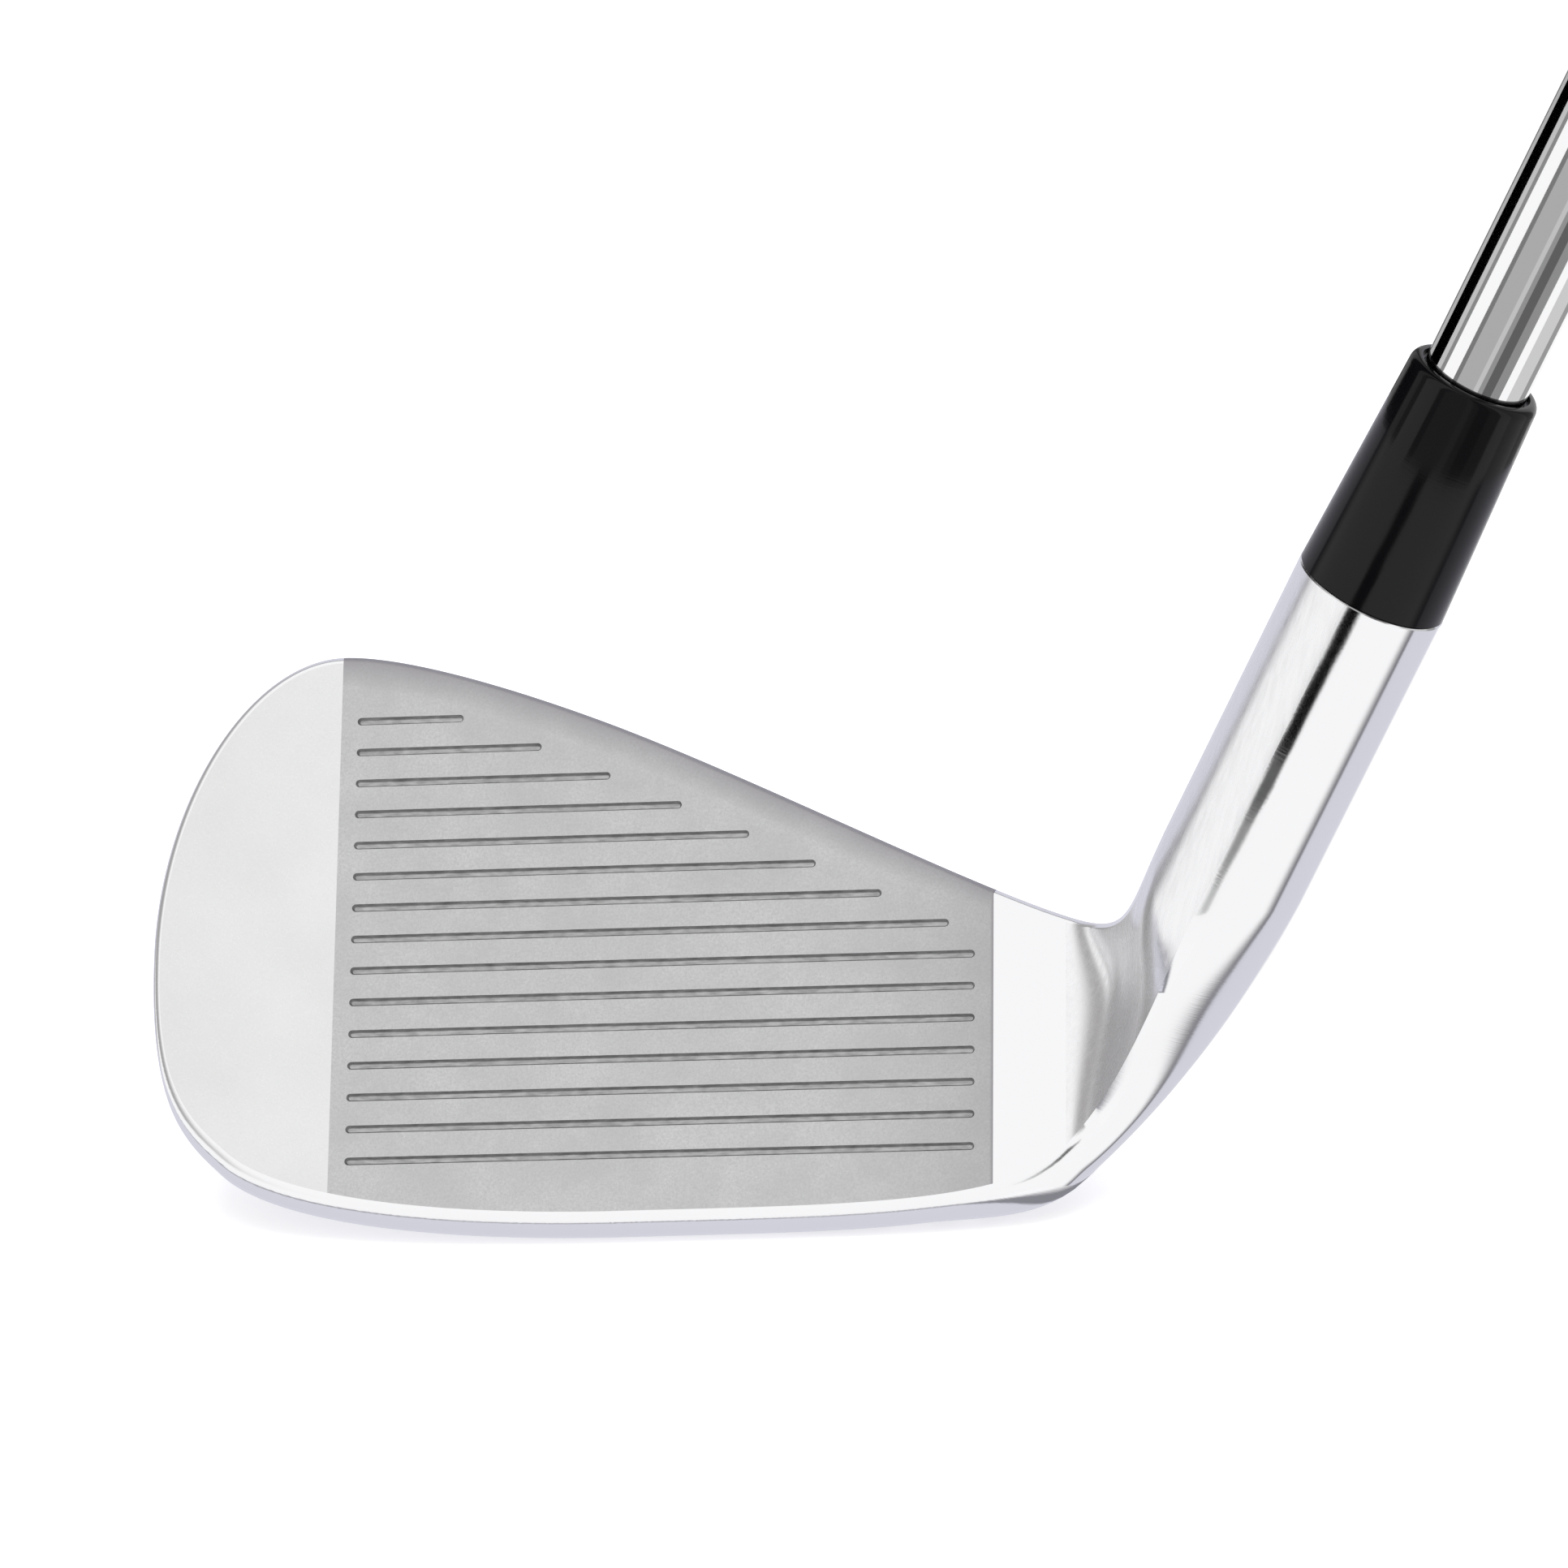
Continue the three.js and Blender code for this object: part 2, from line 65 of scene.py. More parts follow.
# the rim of the blade, from the face's edge to the back
EDGE_RADIUS = {"top": 0.6, "toe": 0.7, "sole": 1.9, "heel": 2.8}
BACK_RADIUS = {"top": 1.1, "toe": 1.6, "sole": 2.6}
RIM_WIDTH = {"top": 4.6, "toe": 6.6, "sole": 17.5}
SOLE_BOUNCE = math.radians(6)
SOLE_LIFT = math.radians(14)
RIM_CAMBER = math.radians(4)
MUSCLE_LEAN = math.radians(12)
BACK_HOLLOW = 0.8
BACK_HOLLOW_HEIGHT = 12  # a back that is higher than this has its full hollow
SOLE_WRAP = 1.5  # how soon the rim takes the sole's shape, going down round the toe
HEEL_START = -12  # where the rim starts to change towards the heel
HEEL_NARROWING = 0.25
HEEL_SWEEP = 0.55  # how far the heel's rim follows the turn of the outline

HOSEL_RADIUS = 6.83
HOSEL_TOP = 68.6
HOSEL_CHAMFER = 0.15
NECK_TOP = 40
BORE_RADIUS = 5.1
BORE_FLOOR = 32
# how much lower than NECK_TOP the neck ends at the ridge and at the middle of the back, and how
# much more in the hollow, to leave steel round the bore's foot
RIDGE_DROP = 3
HOLLOW_DROP = 3.5
NECK_HOLLOW = 1.2  # depth of the hollow between the face and the ridge
NECK_ROUND = 0.9  # fullness beside the ridge, and as much taken away beside the topline
# places round the hosel, in degrees, where the section's corners end
RIDGE_ANGLE = 107.5
TOP_ANGLE = 172
BACK_ANGLE = 212
TRAIL_ANGLE = 300
# how far the neck's curves follow the blade and then the hosel, and how much more they do in the hollow
BLADE_PULL = {"sole": 20, "ridge": 17, "top": 18}
HOSEL_PULL = {"sole": 28, "ridge": 27.5, "top": 27}
EXTRA_PULL = 9

SCORE_COUNT = 15
SCORE_PITCH = 3.03
SCORE_FIRST = 9.75
SCORE_TOE_END = -64.7
SCORE_HEEL_END = -6.9
SCORE_TOP_MARGIN = 4.5  # from a line's heel end up to the topline
SCORE_MARGIN_STEP = 0.45  # taken off it once for the second highest line and twice for the highest
SCORE_WIDTH = 0.74
SCORE_DEPTH = 0.36
BLAST_TOE = -66.2
BLAST_HEEL = -5.2

# how finely the head's surfaces are cut up
BLADE_STATIONS = 150
EVENNESS = 0.35  # how evenly the blade's stations lie away from the toe, where they are crowded
NECK_STATIONS = 72
FACE_CELLS = 44
BACK_CELLS = 30
EDGE_CELLS = 12
WALL_CELLS = 16
CORNER_CELLS = 8
SEAM = 0.12  # width of the narrow row of faces that keeps an edge's shading off the flat


# ------------ frames and small helpers
FACE_UP = np.array([0, math.sin(LOFT), math.cos(LOFT)])
FACE_DEEP = np.array([0, math.cos(LOFT), -math.sin(LOFT)])
AXIS = np.array([math.cos(LIE), 0, math.sin(LIE)])
AXIS_TOEWARD = np.array([-math.sin(LIE), 0, math.cos(LIE)])
FRONT = np.array([0, -1, 0])
ORIGIN = HAND_HOLD * AXIS


def on_face(points):
    """Points (x, up the face, deeper behind it) in the club's frame."""
    points = np.asarray(points, float)
    x, up, deep = points[..., 0:1], points[..., 1:2], points[..., 2:3]
    return x * np.array([1, 0, 0]) + up * FACE_UP + deep * FACE_DEEP + FACE_LEAD * FRONT


def on_axis(radius, angle, along):
    """Angle 0 points to the heel, 90 degrees to the front and 180 to the toe."""
    angle = np.asarray(angle, float)[..., None]
    radius = np.asarray(radius, float)[..., None]
    along = np.asarray(along, float)[..., None]
    return along * AXIS - radius * np.cos(angle) * AXIS_TOEWARD + radius * np.sin(angle) * FRONT


def smooth(t):
    t = np.clip(t, 0, 1)
    return t * t * (3 - 2 * t)


def lerp(a, b, t):
    return a + (b - a) * t


def placed(points):
    """Millimetres from the axis's foot on the ground, as metres in the club's frame."""
    return (np.asarray(points, float).reshape(-1, 3) - ORIGIN) * MM


def add_mesh(name, points, faces, materials=()):
    """A mesh object from points in millimetres."""
    mesh = bpy.data.meshes.new(name)
    mesh.from_pydata(placed(points).tolist(), [], faces)
    for material in materials:
        mesh.materials.append(material)
    thing = bpy.data.objects.new(name, mesh)
    bpy.context.scene.collection.objects.link(thing)
    return thing


def make_piece(name, points, faces, materials, replaces, smooth_angle=SMOOTH_ANGLE, indices=None):
    """A piece that rides on the club and takes the place of CAD nodes."""
    piece = add_mesh(name, points, faces, materials)
    if indices is not None:
        piece.data.polygons.foreach_set("material_index", indices)
    tidy_mesh(piece.data, smooth_angle)
    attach(piece, BODY)
    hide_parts(*replaces)
    return piece


def tidy_mesh(mesh, smooth_angle):
    """Merges doubled points, drops empty faces, and keeps an edge sharp where it turns steeply."""
    bm = bmesh.new()
    bm.from_mesh(mesh)
    bmesh.ops.remove_doubles(bm, verts=bm.verts, dist=1e-7)
    bmesh.ops.dissolve_degenerate(bm, edges=bm.edges, dist=1e-8)
    bmesh.ops.recalc_face_normals(bm, faces=bm.faces)
    limit = math.radians(smooth_angle)
    for face in bm.faces:
        face.smooth = True
    for edge in bm.edges:
        edge.smooth = len(edge.link_faces) != 2 or edge.calc_face_angle(0) < limit
    bm.to_mesh(mesh)
    bm.free()


# ------------ head: outline
def bezier(ends, t):
    """Point and direction at t on a curve with two ends and two handles."""
    start, start_handle, end_handle, end = (np.array(p, float) for p in ends)
    s = 1 - t
    point = s**3 * start + 3 * s * s * t * start_handle + 3 * s * t * t * end_handle + t**3 * end
    slope = s * s * (start_handle - start) + 2 * s * t * (end_handle - start_handle)
    slope = slope + t * t * (end - end_handle)
    return point, slope / np.linalg.norm(slope)


LOWER_EDGE = [
    (TOE_TIP, (TOE_TIP[0], 18), (-80.1, 14.7), TOE_CORNER),
    (TOE_CORNER, (-70.3, 6.2), (-55, SOLE_LOW[1]), SOLE_LOW),
    (SOLE_LOW, (-20, 4.6), (-3.2, 4.0), HEEL_LOW),
]
UPPER_EDGE = [
    (TOE_TIP, (TOE_TIP[0], 45), (-74.7, TOE_PEAK[1]), TOE_PEAK),
    (TOE_PEAK, (-60.5, TOE_PEAK[1]), (-50, 54.5), TOP_SHOULDER),
    (TOP_SHOULDER, (-28, 45.2), (-7.6, 34), HEEL_TOP),
]


def crossing(chain, x):
    """Point and direction where a chain of curves, running from toe to heel, crosses x."""
    ends = next((piece for piece in chain if x <= piece[3][0]), chain[-1])
    low, high = 0.0, 1.0
    for _ in range(40):
        middle = (low + high) / 2
        if bezier(ends, middle)[0][0] < x:
            low = middle
        else:
            high = middle
    return bezier(ends, high)


# ------------ head: sections
def rim_profile(downward, heel_share):
    """Steps (outward, deeper) round one rim, from the face's edge over to the back. downward is 1
    under the sole, 0 at the toe and -1 on the topline."""
    side = "sole" if downward > 0 else "top"
    share = smooth(abs(downward))
    sole_share = smooth(downward * SOLE_WRAP)
    edge_radius = lerp(lerp(EDGE_RADIUS["toe"], EDGE_RADIUS[side], share), EDGE_RADIUS["heel"], heel_share)
    level = math.pi / 2 + LOFT * sole_share
    wall_start = level - max(SOLE_BOUNCE * sole_share, RIM_CAMBER / 2)
    wall_end = level + max(SOLE_LIFT * sole_share, RIM_CAMBER / 2)
    back_start = math.pi + MUSCLE_LEAN * sole_share
    width = lerp(RIM_WIDTH["toe"], RIM_WIDTH[side], share) * (1 - HEEL_NARROWING * heel_share)
    wall_radius = width / (wall_end - wall_start)
    back_radius = lerp(BACK_RADIUS["toe"], BACK_RADIUS[side], share)
    steps = [np.zeros(2)]
    for start, end, radius, cells in (
        (0, wall_start, edge_radius, EDGE_CELLS),
        (wall_start, wall_end, wall_radius, WALL_CELLS),
        (wall_end, back_start, back_radius, CORNER_CELLS),
    ):
        origin = steps[-1]
        for i in range(1, cells + 1):
            angle = start + (end - start) * i / cells
            turn = np.array([math.sin(angle) - math.sin(start), math.cos(start) - math.cos(angle)])
            steps.append(origin + radius * turn)
    return np.array(steps)


def rim(edge, outward, heel_share):
    """Points (x, up, deep) round the rim at one place of the outline."""
    steps = rim_profile(-outward[1], heel_share)
    flat = edge + steps[:, :1] * outward
    return np.column_stack([flat, steps[:, 1]])


def face_shares(height):
    """Where the rows of points lie up the face, from 0 at its foot to 1 at its top: two narrow rows
    keep the edges' shading apart."""
    widest, flat = 0.2, 1e-6
    seam = min(SEAM / max(height, flat), widest)
    inner = np.linspace(seam, 1 - seam, FACE_CELLS - 1)
    return np.concatenate([[0], inner])


def blade_loop(low, low_outward, high, high_outward, heel_share):
    """Closed loop (x, up, deep) up the face, over the top, down the back and along the sole."""
    under = rim(low, low_outward, heel_share)
    over = rim(high, high_outward, 0)
    shares = face_shares(np.linalg.norm(high - low))[:, None]
    face = np.column_stack([lerp(low, high, shares), np.zeros(FACE_CELLS)])
    t = (np.arange(BACK_CELLS) / BACK_CELLS)[:, None]
    back = lerp(over[-1], under[-1], t)
    hollow = BACK_HOLLOW * smooth((over[-1][1] - under[-1][1]) / BACK_HOLLOW_HEIGHT)
    back[:, 2] -= hollow * np.sin(math.pi * t[:, 0])
    return np.vstack([face, over[:-1], back, under[:0:-1]])


def blade_section(x):
    """The blade's closed loop at x. Near the heel its lower rim turns less than the outline does."""
    low, low_along = crossing(LOWER_EDGE, x)
    high, high_along = crossing(UPPER_EDGE, x)
    sweep = lerp(1, HEEL_SWEEP, smooth((x - SOLE_LOW[0]) / -SOLE_LOW[0]))
    low_outward = np.array([low_along[1] * sweep, -low_along[0]])
    low_outward /= np.linalg.norm(low_outward)
    high_outward = np.array([-high_along[1], high_along[0]])
    heel_share = smooth((x - HEEL_START) / (HEEL_LOW[0] - HEEL_START))
    return blade_loop(low, low_outward, high, high_outward, heel_share)


def toe_section():
    tip, outward = np.array(TOE_TIP, float), np.array([-1.0, 0])
    return blade_loop(tip, outward, tip, outward, 0)


# how far the rim has turned, going back from the ridge under the heel, after some of its cells
UNDER_CELLS = (0, EDGE_CELLS, EDGE_CELLS + WALL_CELLS, EDGE_CELLS + WALL_CELLS + CORNER_CELLS)
UNDER_TURN = (0, 0.55, 0.8, 1)


def hosel_places():
    """For each point of a section: where it ends round the hosel, how high it lies (1 topline,
    0 ridge, -1 sole), and its share of the neck's hollow."""
    rim_cells = EDGE_CELLS + WALL_CELLS + CORNER_CELLS
    up_face = face_shares(HEEL_TOP[1] - HEEL_LOW[1])
    along_rim = np.arange(rim_cells) / rim_cells
    under = 1 - np.interp(rim_cells * (1 - along_rim), UNDER_CELLS, UNDER_TURN)
    down_back = np.arange(BACK_CELLS) / BACK_CELLS
    angle = np.concatenate([
        lerp(RIDGE_ANGLE, TOP_ANGLE, up_face),
        lerp(TOP_ANGLE, BACK_ANGLE, along_rim),
        lerp(BACK_ANGLE, TRAIL_ANGLE, down_back),
        lerp(TRAIL_ANGLE, RIDGE_ANGLE + 360, under),
    ])
    rise = np.concatenate([up_face, np.ones(rim_cells), 1 - 2 * down_back, under**3 - 1])
    hollow = np.zeros(len(angle))
    hollow[:FACE_CELLS] = np.sin(math.pi * up_face)
    return np.radians(angle), rise, hollow


def pull(table, rise):
    """The pull at each height, between the table's values for sole, ridge and topline."""
    high = lerp(table["ridge"], table["top"], rise)
    low = lerp(table["ridge"], table["sole"], -rise)
    return np.where(rise > 0, high, low)[:, None]


def neck_sections():
    """Loops from the blade's last section to the round hosel. Each point follows a curve that leaves
    along the blade and arrives along the hosel."""
    angle, rise, hollow = hosel_places()
    start = on_face(blade_section(HEEL_LOW[0]))
    step_back = 0.5
    leaving = (start - on_face(blade_section(HEEL_LOW[0] - step_back))) / step_back
    drop = RIDGE_DROP * (1 - abs(rise)) + HOLLOW_DROP * hollow
    end = on_axis(HOSEL_RADIUS, angle, NECK_TOP - drop)
    blade_pull = pull(BLADE_PULL, rise) + EXTRA_PULL * hollow[:, None]
    rounding = NECK_ROUND * np.sin(2 * math.pi * rise) * (hollow > 0)
    fullness = rounding - NECK_HOLLOW * hollow
    sections = []
    for t in np.arange(1, NECK_STATIONS + 1) / NECK_STATIONS:
        points = lerp(start, end, smooth(t))
        points += leaving * blade_pull * t * (1 - t) ** 2
        points += AXIS * pull(HOSEL_PULL, rise) * t * t * (t - 1)
        points += FRONT * (fullness * math.sin(math.pi * t) ** 2)[:, None]
        sections.append(points)
    return sections


def blade_places():
    """Stations along the blade, close together round the toe, with one on each edge of the blast."""
    t = np.arange(1, BLADE_STATIONS + 1) / BLADE_STATIONS
    spread = lerp(1 - np.cos(math.pi * t / 2), t, EVENNESS * t)
    places = TOE_TIP[0] + (HEEL_LOW[0] - TOE_TIP[0]) * spread
    for wanted in (BLAST_TOE, BLAST_HEEL):
        places[np.argmin(abs(places - wanted))] = wanted
    return places


# ------------ head: score lines
def score_ends(index):
    """The two centres of a score line's round ends, on the face. Under the slope of the topline, a
    line is cut short of it."""
    up = SCORE_FIRST + index * SCORE_PITCH
    from_top = SCORE_COUNT - 1 - index
    margin = SCORE_TOP_MARGIN - SCORE_MARGIN_STEP * max(0, 2 - from_top)
    heel_end = SCORE_HEEL_END
    step = 0.1
    while crossing(UPPER_EDGE, heel_end)[0][1] < up + margin:
        heel_end -= step
    half = SCORE_WIDTH / 2
    return np.array([[SCORE_TOE_END + half, up], [heel_end - half, up]])


def score_ring(ends, radius, deep, steps=12):
    """A ring round a score line, radius away from its centre line."""
    left = math.pi / 2 + math.pi * np.arange(steps + 1) / steps
    right = left + math.pi
    points = [
        centre + radius * np.column_stack([np.cos(turn), np.sin(turn)])
        for centre, turn in zip(ends, (left, right))
    ]
    flat = np.vstack(points)
    return np.column_stack([flat, np.full(len(flat), deep)])


# rows down a score line's wall: how far in from its edge, and how deep
SCORE_ROWS = ((0, 0), (0.03, 0.05), (0.12, SCORE_DEPTH - 0.07), (0.19, SCORE_DEPTH))
# how many rows past the topline's rounded edge the blast reaches
BLAST_OVERLAP = 2
# a face just on the toe side of a blast's edge belongs to that side
NUDGE = 1e-3


class HeadMesh:
    """Collects the head's points and faces, with each face's finish."""

    POLISHED, SATIN, BLASTED, SCORED, BRUSHED = range(5)

    def __init__(self):
        self.points = []
        self.faces = []
        self.finish = []

    def add_points(self, points):
        first = len(self.points)
        self.points.extend(np.asarray(points, float).reshape(-1, 3))
        return first

    def add_face(self, corners, finish):
        self.faces.append([int(c) for c in corners])
        self.finish.append(finish)

    def add_rows(self, upper, lower, finish):
        """A closed band of faces between two rings of points, given as lists of indices."""
        count = len(upper)
        for i in range(count):
            j = (i + 1) % count
            self.add_face((upper[i], upper[j], lower[j], lower[i]), finish)


def face_finish(x):
    if x < BLAST_TOE:
        return HeadMesh.SATIN
    return HeadMesh.BLASTED if x < BLAST_HEEL else HeadMesh.POLISHED


def skin_finish(place, on_blade, x):
    """The finish of the skin's face that starts at a place of the ring: the blast wraps over the
    topline, and the neck's hollow is brushed."""
    if place < FACE_CELLS - 1:
        return face_finish(x) if on_blade else HeadMesh.BRUSHED
    over_top = place < FACE_CELLS + EDGE_CELLS + BLAST_OVERLAP
    if on_blade and over_top and face_finish(x) == HeadMesh.BLASTED:
        return HeadMesh.BLASTED
    return HeadMesh.POLISHED


def add_skin(head):
    """The skin of blade, neck and hosel without the flat of the face. Returns how many points a
    section has, and the blade's sections."""
    places = blade_places()
    blade = [toe_section()] + [blade_section(x) for x in places]
    solid = [on_face(loop) for loop in blade] + neck_sections()
    angle, _, _ = hosel_places()
    for radius, along in (
        (HOSEL_RADIUS, HOSEL_TOP - HOSEL_CHAMFER),
        (HOSEL_RADIUS - HOSEL_CHAMFER, HOSEL_TOP),
        (BORE_RADIUS, HOSEL_TOP),
        (BORE_RADIUS, BORE_FLOOR),
    ):
        solid.append(on_axis(radius, angle, along))
    ring = len(solid[0])
    head.add_points(np.array(solid))
    last_flat = len(places) - 1
    for i in range(len(solid) - 1):
        x = blade[i + 1][0, 0] if i + 1 < len(blade) else HEEL_LOW[0]
        for j in range(ring):
            if 1 <= j < FACE_CELLS - 1 and i < last_flat:
                continue
            k = (j + 1) % ring
            corners = (i * ring + j, i * ring + k, (i + 1) * ring + k, (i + 1) * ring + j)
            head.add_face(corners, skin_finish(j, i < len(places), x - NUDGE))
    bottom = (len(solid) - 1) * ring
    head.add_face(range(bottom, bottom + ring), HeadMesh.POLISHED)
    return ring, blade


def add_flat(head, ring, blade):
    """The flat of the face with the score lines cut into it. The flat is triangulated round the lines,
    and each line's wall and floor are added as rows of faces."""
    last = len(blade) - 2
    outline = [i * ring + 1 for i in range(1, last + 1)]
    outline += [last * ring + j for j in range(2, FACE_CELLS - 1)]
    outline += [i * ring + FACE_CELLS - 1 for i in range(last, 0, -1)]
    flat = [tuple(blade[index // ring][index % ring][:2]) for index in outline]
    head.add_face((0, outline[0], outline[-1]), HeadMesh.SATIN)
    scores = [score_ends(i) for i in range(SCORE_COUNT)]
    loops = [list(range(len(outline)))]
    indices = list(outline)
    for ends in scores:
        rows = []
        for inset, deep in SCORE_ROWS:
            ring_points = score_ring(ends, SCORE_WIDTH / 2 - inset, deep)
            first = head.add_points(on_face(ring_points))
            rows.append(list(range(first, first + len(ring_points))))
        for upper, lower in zip(rows, rows[1:]):
            head.add_rows(upper, lower, HeadMesh.SCORED)
        head.add_face(rows[-1], HeadMesh.SCORED)
        loops.append(list(range(len(flat), len(flat) + len(rows[0]))))
        flat.extend(tuple(p[:2]) for p in score_ring(ends, SCORE_WIDTH / 2, 0))
        indices.extend(rows[0])
    edges = [(a, b) for loop in loops for a, b in zip(loop, loop[1:] + loop[:1])]
    edges += [blast_edge(blade, outline, ring, x) for x in (BLAST_TOE, BLAST_HEEL)]
    points, _, triangles, origins, _, _ = delaunay_2d_cdt([Vector(p) for p in flat], edges, [], 0, 1e-6)
    centre_line = [(ends, SCORE_WIDTH / 2) for ends in scores]
    polygon = np.array(flat[: len(outline)])
    for triangle in triangles:
        middle = np.mean([points[c] for c in triangle], axis=0)
        if not inside(polygon, middle) or any(in_score(middle, *line) for line in centre_line):
            continue
        corners = [indices[origins[c][0]] for c in triangle]
        head.add_face(corners, face_finish(middle[0]))


def blast_edge(blade, outline, ring, x):
    """The cut across the flat, from its lower to its upper edge, where the finish changes."""
    station = int(np.argmin([abs(loop[0, 0] - x) for loop in blade]))
    return outline.index(station * ring + 1), outline.index(station * ring + FACE_CELLS - 1)


def inside(polygon, point):
    """Whether a level line from the point crosses the polygon an odd number of times."""
    x, y = point
    after = np.roll(polygon, -1, axis=0)
    straddles = (polygon[:, 1] > y) != (after[:, 1] > y)
    rise = np.where(straddles, after[:, 1] - polygon[:, 1], 1)
    meets = polygon[:, 0] + (y - polygon[:, 1]) * (after[:, 0] - polygon[:, 0]) / rise
    return np.count_nonzero(straddles & (x < meets)) % 2 == 1


def in_score(point, ends, radius):
    x = np.clip(point[0], ends[0][0], ends[1][0])
    return math.hypot(point[0] - x, point[1] - ends[0][1]) < radius - NUDGE


def carve(piece, rings):
    """Cuts the closed form through the rings of points out of the piece."""
    count = len(rings[0])
    vertices = np.vstack(rings)
    faces = [list(range(count)), list(range(len(vertices) - count, len(vertices)))]
    faces += ring_faces(len(rings), count)
    cutter = add_mesh("cutter", vertices, faces)
    tidy_mesh(cutter.data, SMOOTH_ANGLE)
    modifier = piece.modifiers.new("cut", "BOOLEAN")
    modifier.operation = "DIFFERENCE"
    modifier.solver = "EXACT"
    modifier.object = cutter
    evaluated = piece.evaluated_get(bpy.context.evaluated_depsgraph_get())
    carved = bpy.data.meshes.new_from_object(evaluated)
    piece.modifiers.clear()
    piece.data = carved
    bpy.data.objects.remove(cutter)
    tidy_mesh(carved, SMOOTH_ANGLE)


def ring_faces(rings, count, closed=False):
    """Quads between neighbouring rings of points. A closed set also joins its last ring to its first."""
    faces = []
    for i in range(rings if closed else rings - 1):
        after = (i + 1) % rings
        for j in range(count):
            k = (j + 1) % count
            faces.append([i * count + j, i * count + k, after * count + k, after * count + j])
    return faces


# ------------ cavity and badge
CAVITY_FOOT = 21
CAVITY_TOE = -75
CAVITY_HEEL = -12
CAVITY_CROWN = 51.4
CAVITY_FLOOR = 3.2  # behind the face
CAVITY_REACH = 26  # well behind the blade's back
CAVITY_FILLET = 1.0
PAD_THICKNESS = 0.6
BADGE_INSET = 2.2
BADGE_TOP = CAVITY_FLOOR + 2 * FIT_GAP + PAD_THICKNESS
BADGE_THICKNESS = 1.2
FIELD_DEPTH = 0.45
RIB_PLACES = (28, 32, 36)  # up the face
RIB_ENDS = (-66, -30)
RIB_HALF_WIDTH = 0.55
RIB_HEIGHT = 0.35


def cavity_ring(inset, deep, steps=20):
    """The cavity's outline at one depth, drawn smaller by inset."""
    foot, toe = CAVITY_FOOT + inset, CAVITY_TOE + inset
    heel, crown = CAVITY_HEEL - inset, CAVITY_CROWN - inset
    side, peak, shoulder, corner = (toe, 34), (-64.5, crown), (heel - 8, crown - 20), (heel - 7, foot)
    bends = [
        ((toe + 12, foot), (toe + 4, foot), (toe, foot + 5), side),
        (side, (toe, 43), (toe + 5, crown), peak),
        (peak, (-55, crown), (-38, crown - 8.8), shoulder),
        (shoulder, (heel - 1, crown - 22.8), (heel - 1, foot), corner),
    ]
    flat = [bezier(ends, t)[0] for ends in bends for t in np.arange(steps) / steps]
    flat = np.array(flat + [corner])
    return on_face(np.column_stack([flat, np.full(len(flat), deep)]))


def build_head(materials):
    head = HeadMesh()
    ring, blade = add_skin(head)
    add_flat(head, ring, blade)
    piece = make_piece("head_visual", head.points, head.faces, materials,
                       replaces=["iron_head"], indices=head.finish)
    rings = []
    for turn in np.radians(np.arange(90, -1, -15)):
        inset = CAVITY_FILLET * (1 - math.cos(turn))
        deep = CAVITY_FLOOR + CAVITY_FILLET * (1 - math.sin(turn))
        rings.append(cavity_ring(inset, deep))
    carve(piece, rings + [cavity_ring(0, CAVITY_REACH)])


def build_badge(material):
    """A plate with a raised border round a sunken field, crossed by three slim ribs."""
    top, low = BADGE_TOP, BADGE_TOP + BADGE_THICKNESS
    # (inset, deep) up the plate's edge, over the border and down to the field
    steps = [
        (0, top), (0, low - 0.25), (0.08, low - 0.08), (0.25, low), (1.3, low),
        (1.45, low - 0.06), (1.5, low - 0.2), (1.55, low - 0.4), (1.7, low - FIELD_DEPTH),
    ]
    rings = [cavity_ring(BADGE_INSET + inset, deep) for inset, deep in steps]
    count = len(rings[0])
    vertices = list(np.vstack(rings))
    faces = ring_faces(len(rings), count)
    faces += [list(range(count)), list(range(len(vertices) - count, len(vertices)))]
    for up in RIB_PLACES:
        add_rib(vertices, faces, up, low - FIELD_DEPTH)
    make_piece("badge_visual", vertices, faces, [material], replaces=["cavity_badge"])


def add_rib(vertices, faces, up, floor):
    """A slim half-round rib along the badge's field, with tapered ends."""
    first = len(vertices)
    places = np.linspace(0, 1, 25)
    turns = np.linspace(0, math.pi, 9)
    for t in places:
        size = math.sqrt(max(1 - (2 * t - 1) ** 8, 0))
        half, height = RIB_HALF_WIDTH * size, RIB_HEIGHT * size
        x = lerp(*RIB_ENDS, t)
        section = [(x, up + half * math.cos(turn), floor + height * math.sin(turn)) for turn in turns]
        vertices.extend(on_face(section))
    for i in range(len(places) - 1):
        for j in range(len(turns) - 1):
            a = first + i * len(turns) + j
            faces.append([a, a + 1, a + 1 + len(turns), a + len(turns)])


# ------------ pieces turned round the shaft's axis
TIP_RADIUS = 4.7
BUTT_RADIUS = 7.62
TIP_WALL = 0.7
BUTT_WALL = 0.36
STEP_COUNT = 13
FIRST_STEP = 242  # places along the axis are counted from the ground
STEP_PITCH = 33
STEP_LENGTH = 2
CORNER_ROUNDING = 0.5
SHAFT_FOOT = BORE_FLOOR + FIT_GAP
CAP_THICKNESS = 4.2
SHAFT_BUTT = CLUB_LENGTH - CAP_THICKNESS - FIT_GAP
FERRULE_LENGTH = 21.3
FERRULE_FOOT_RADIUS = 6.8
FERRULE_HEAD_RADIUS = 5.97
BAND_START = 609
BAND_LENGTH = 24
BAND_THICKNESS = 0.22
GRIP_LENGTH = 267
GRIP_MOUTH = CLUB_LENGTH - GRIP_LENGTH
LOZENGES_ROUND = 12
LOZENGE_PITCH = 5.2
LOZENGE_DEPTH = 0.6


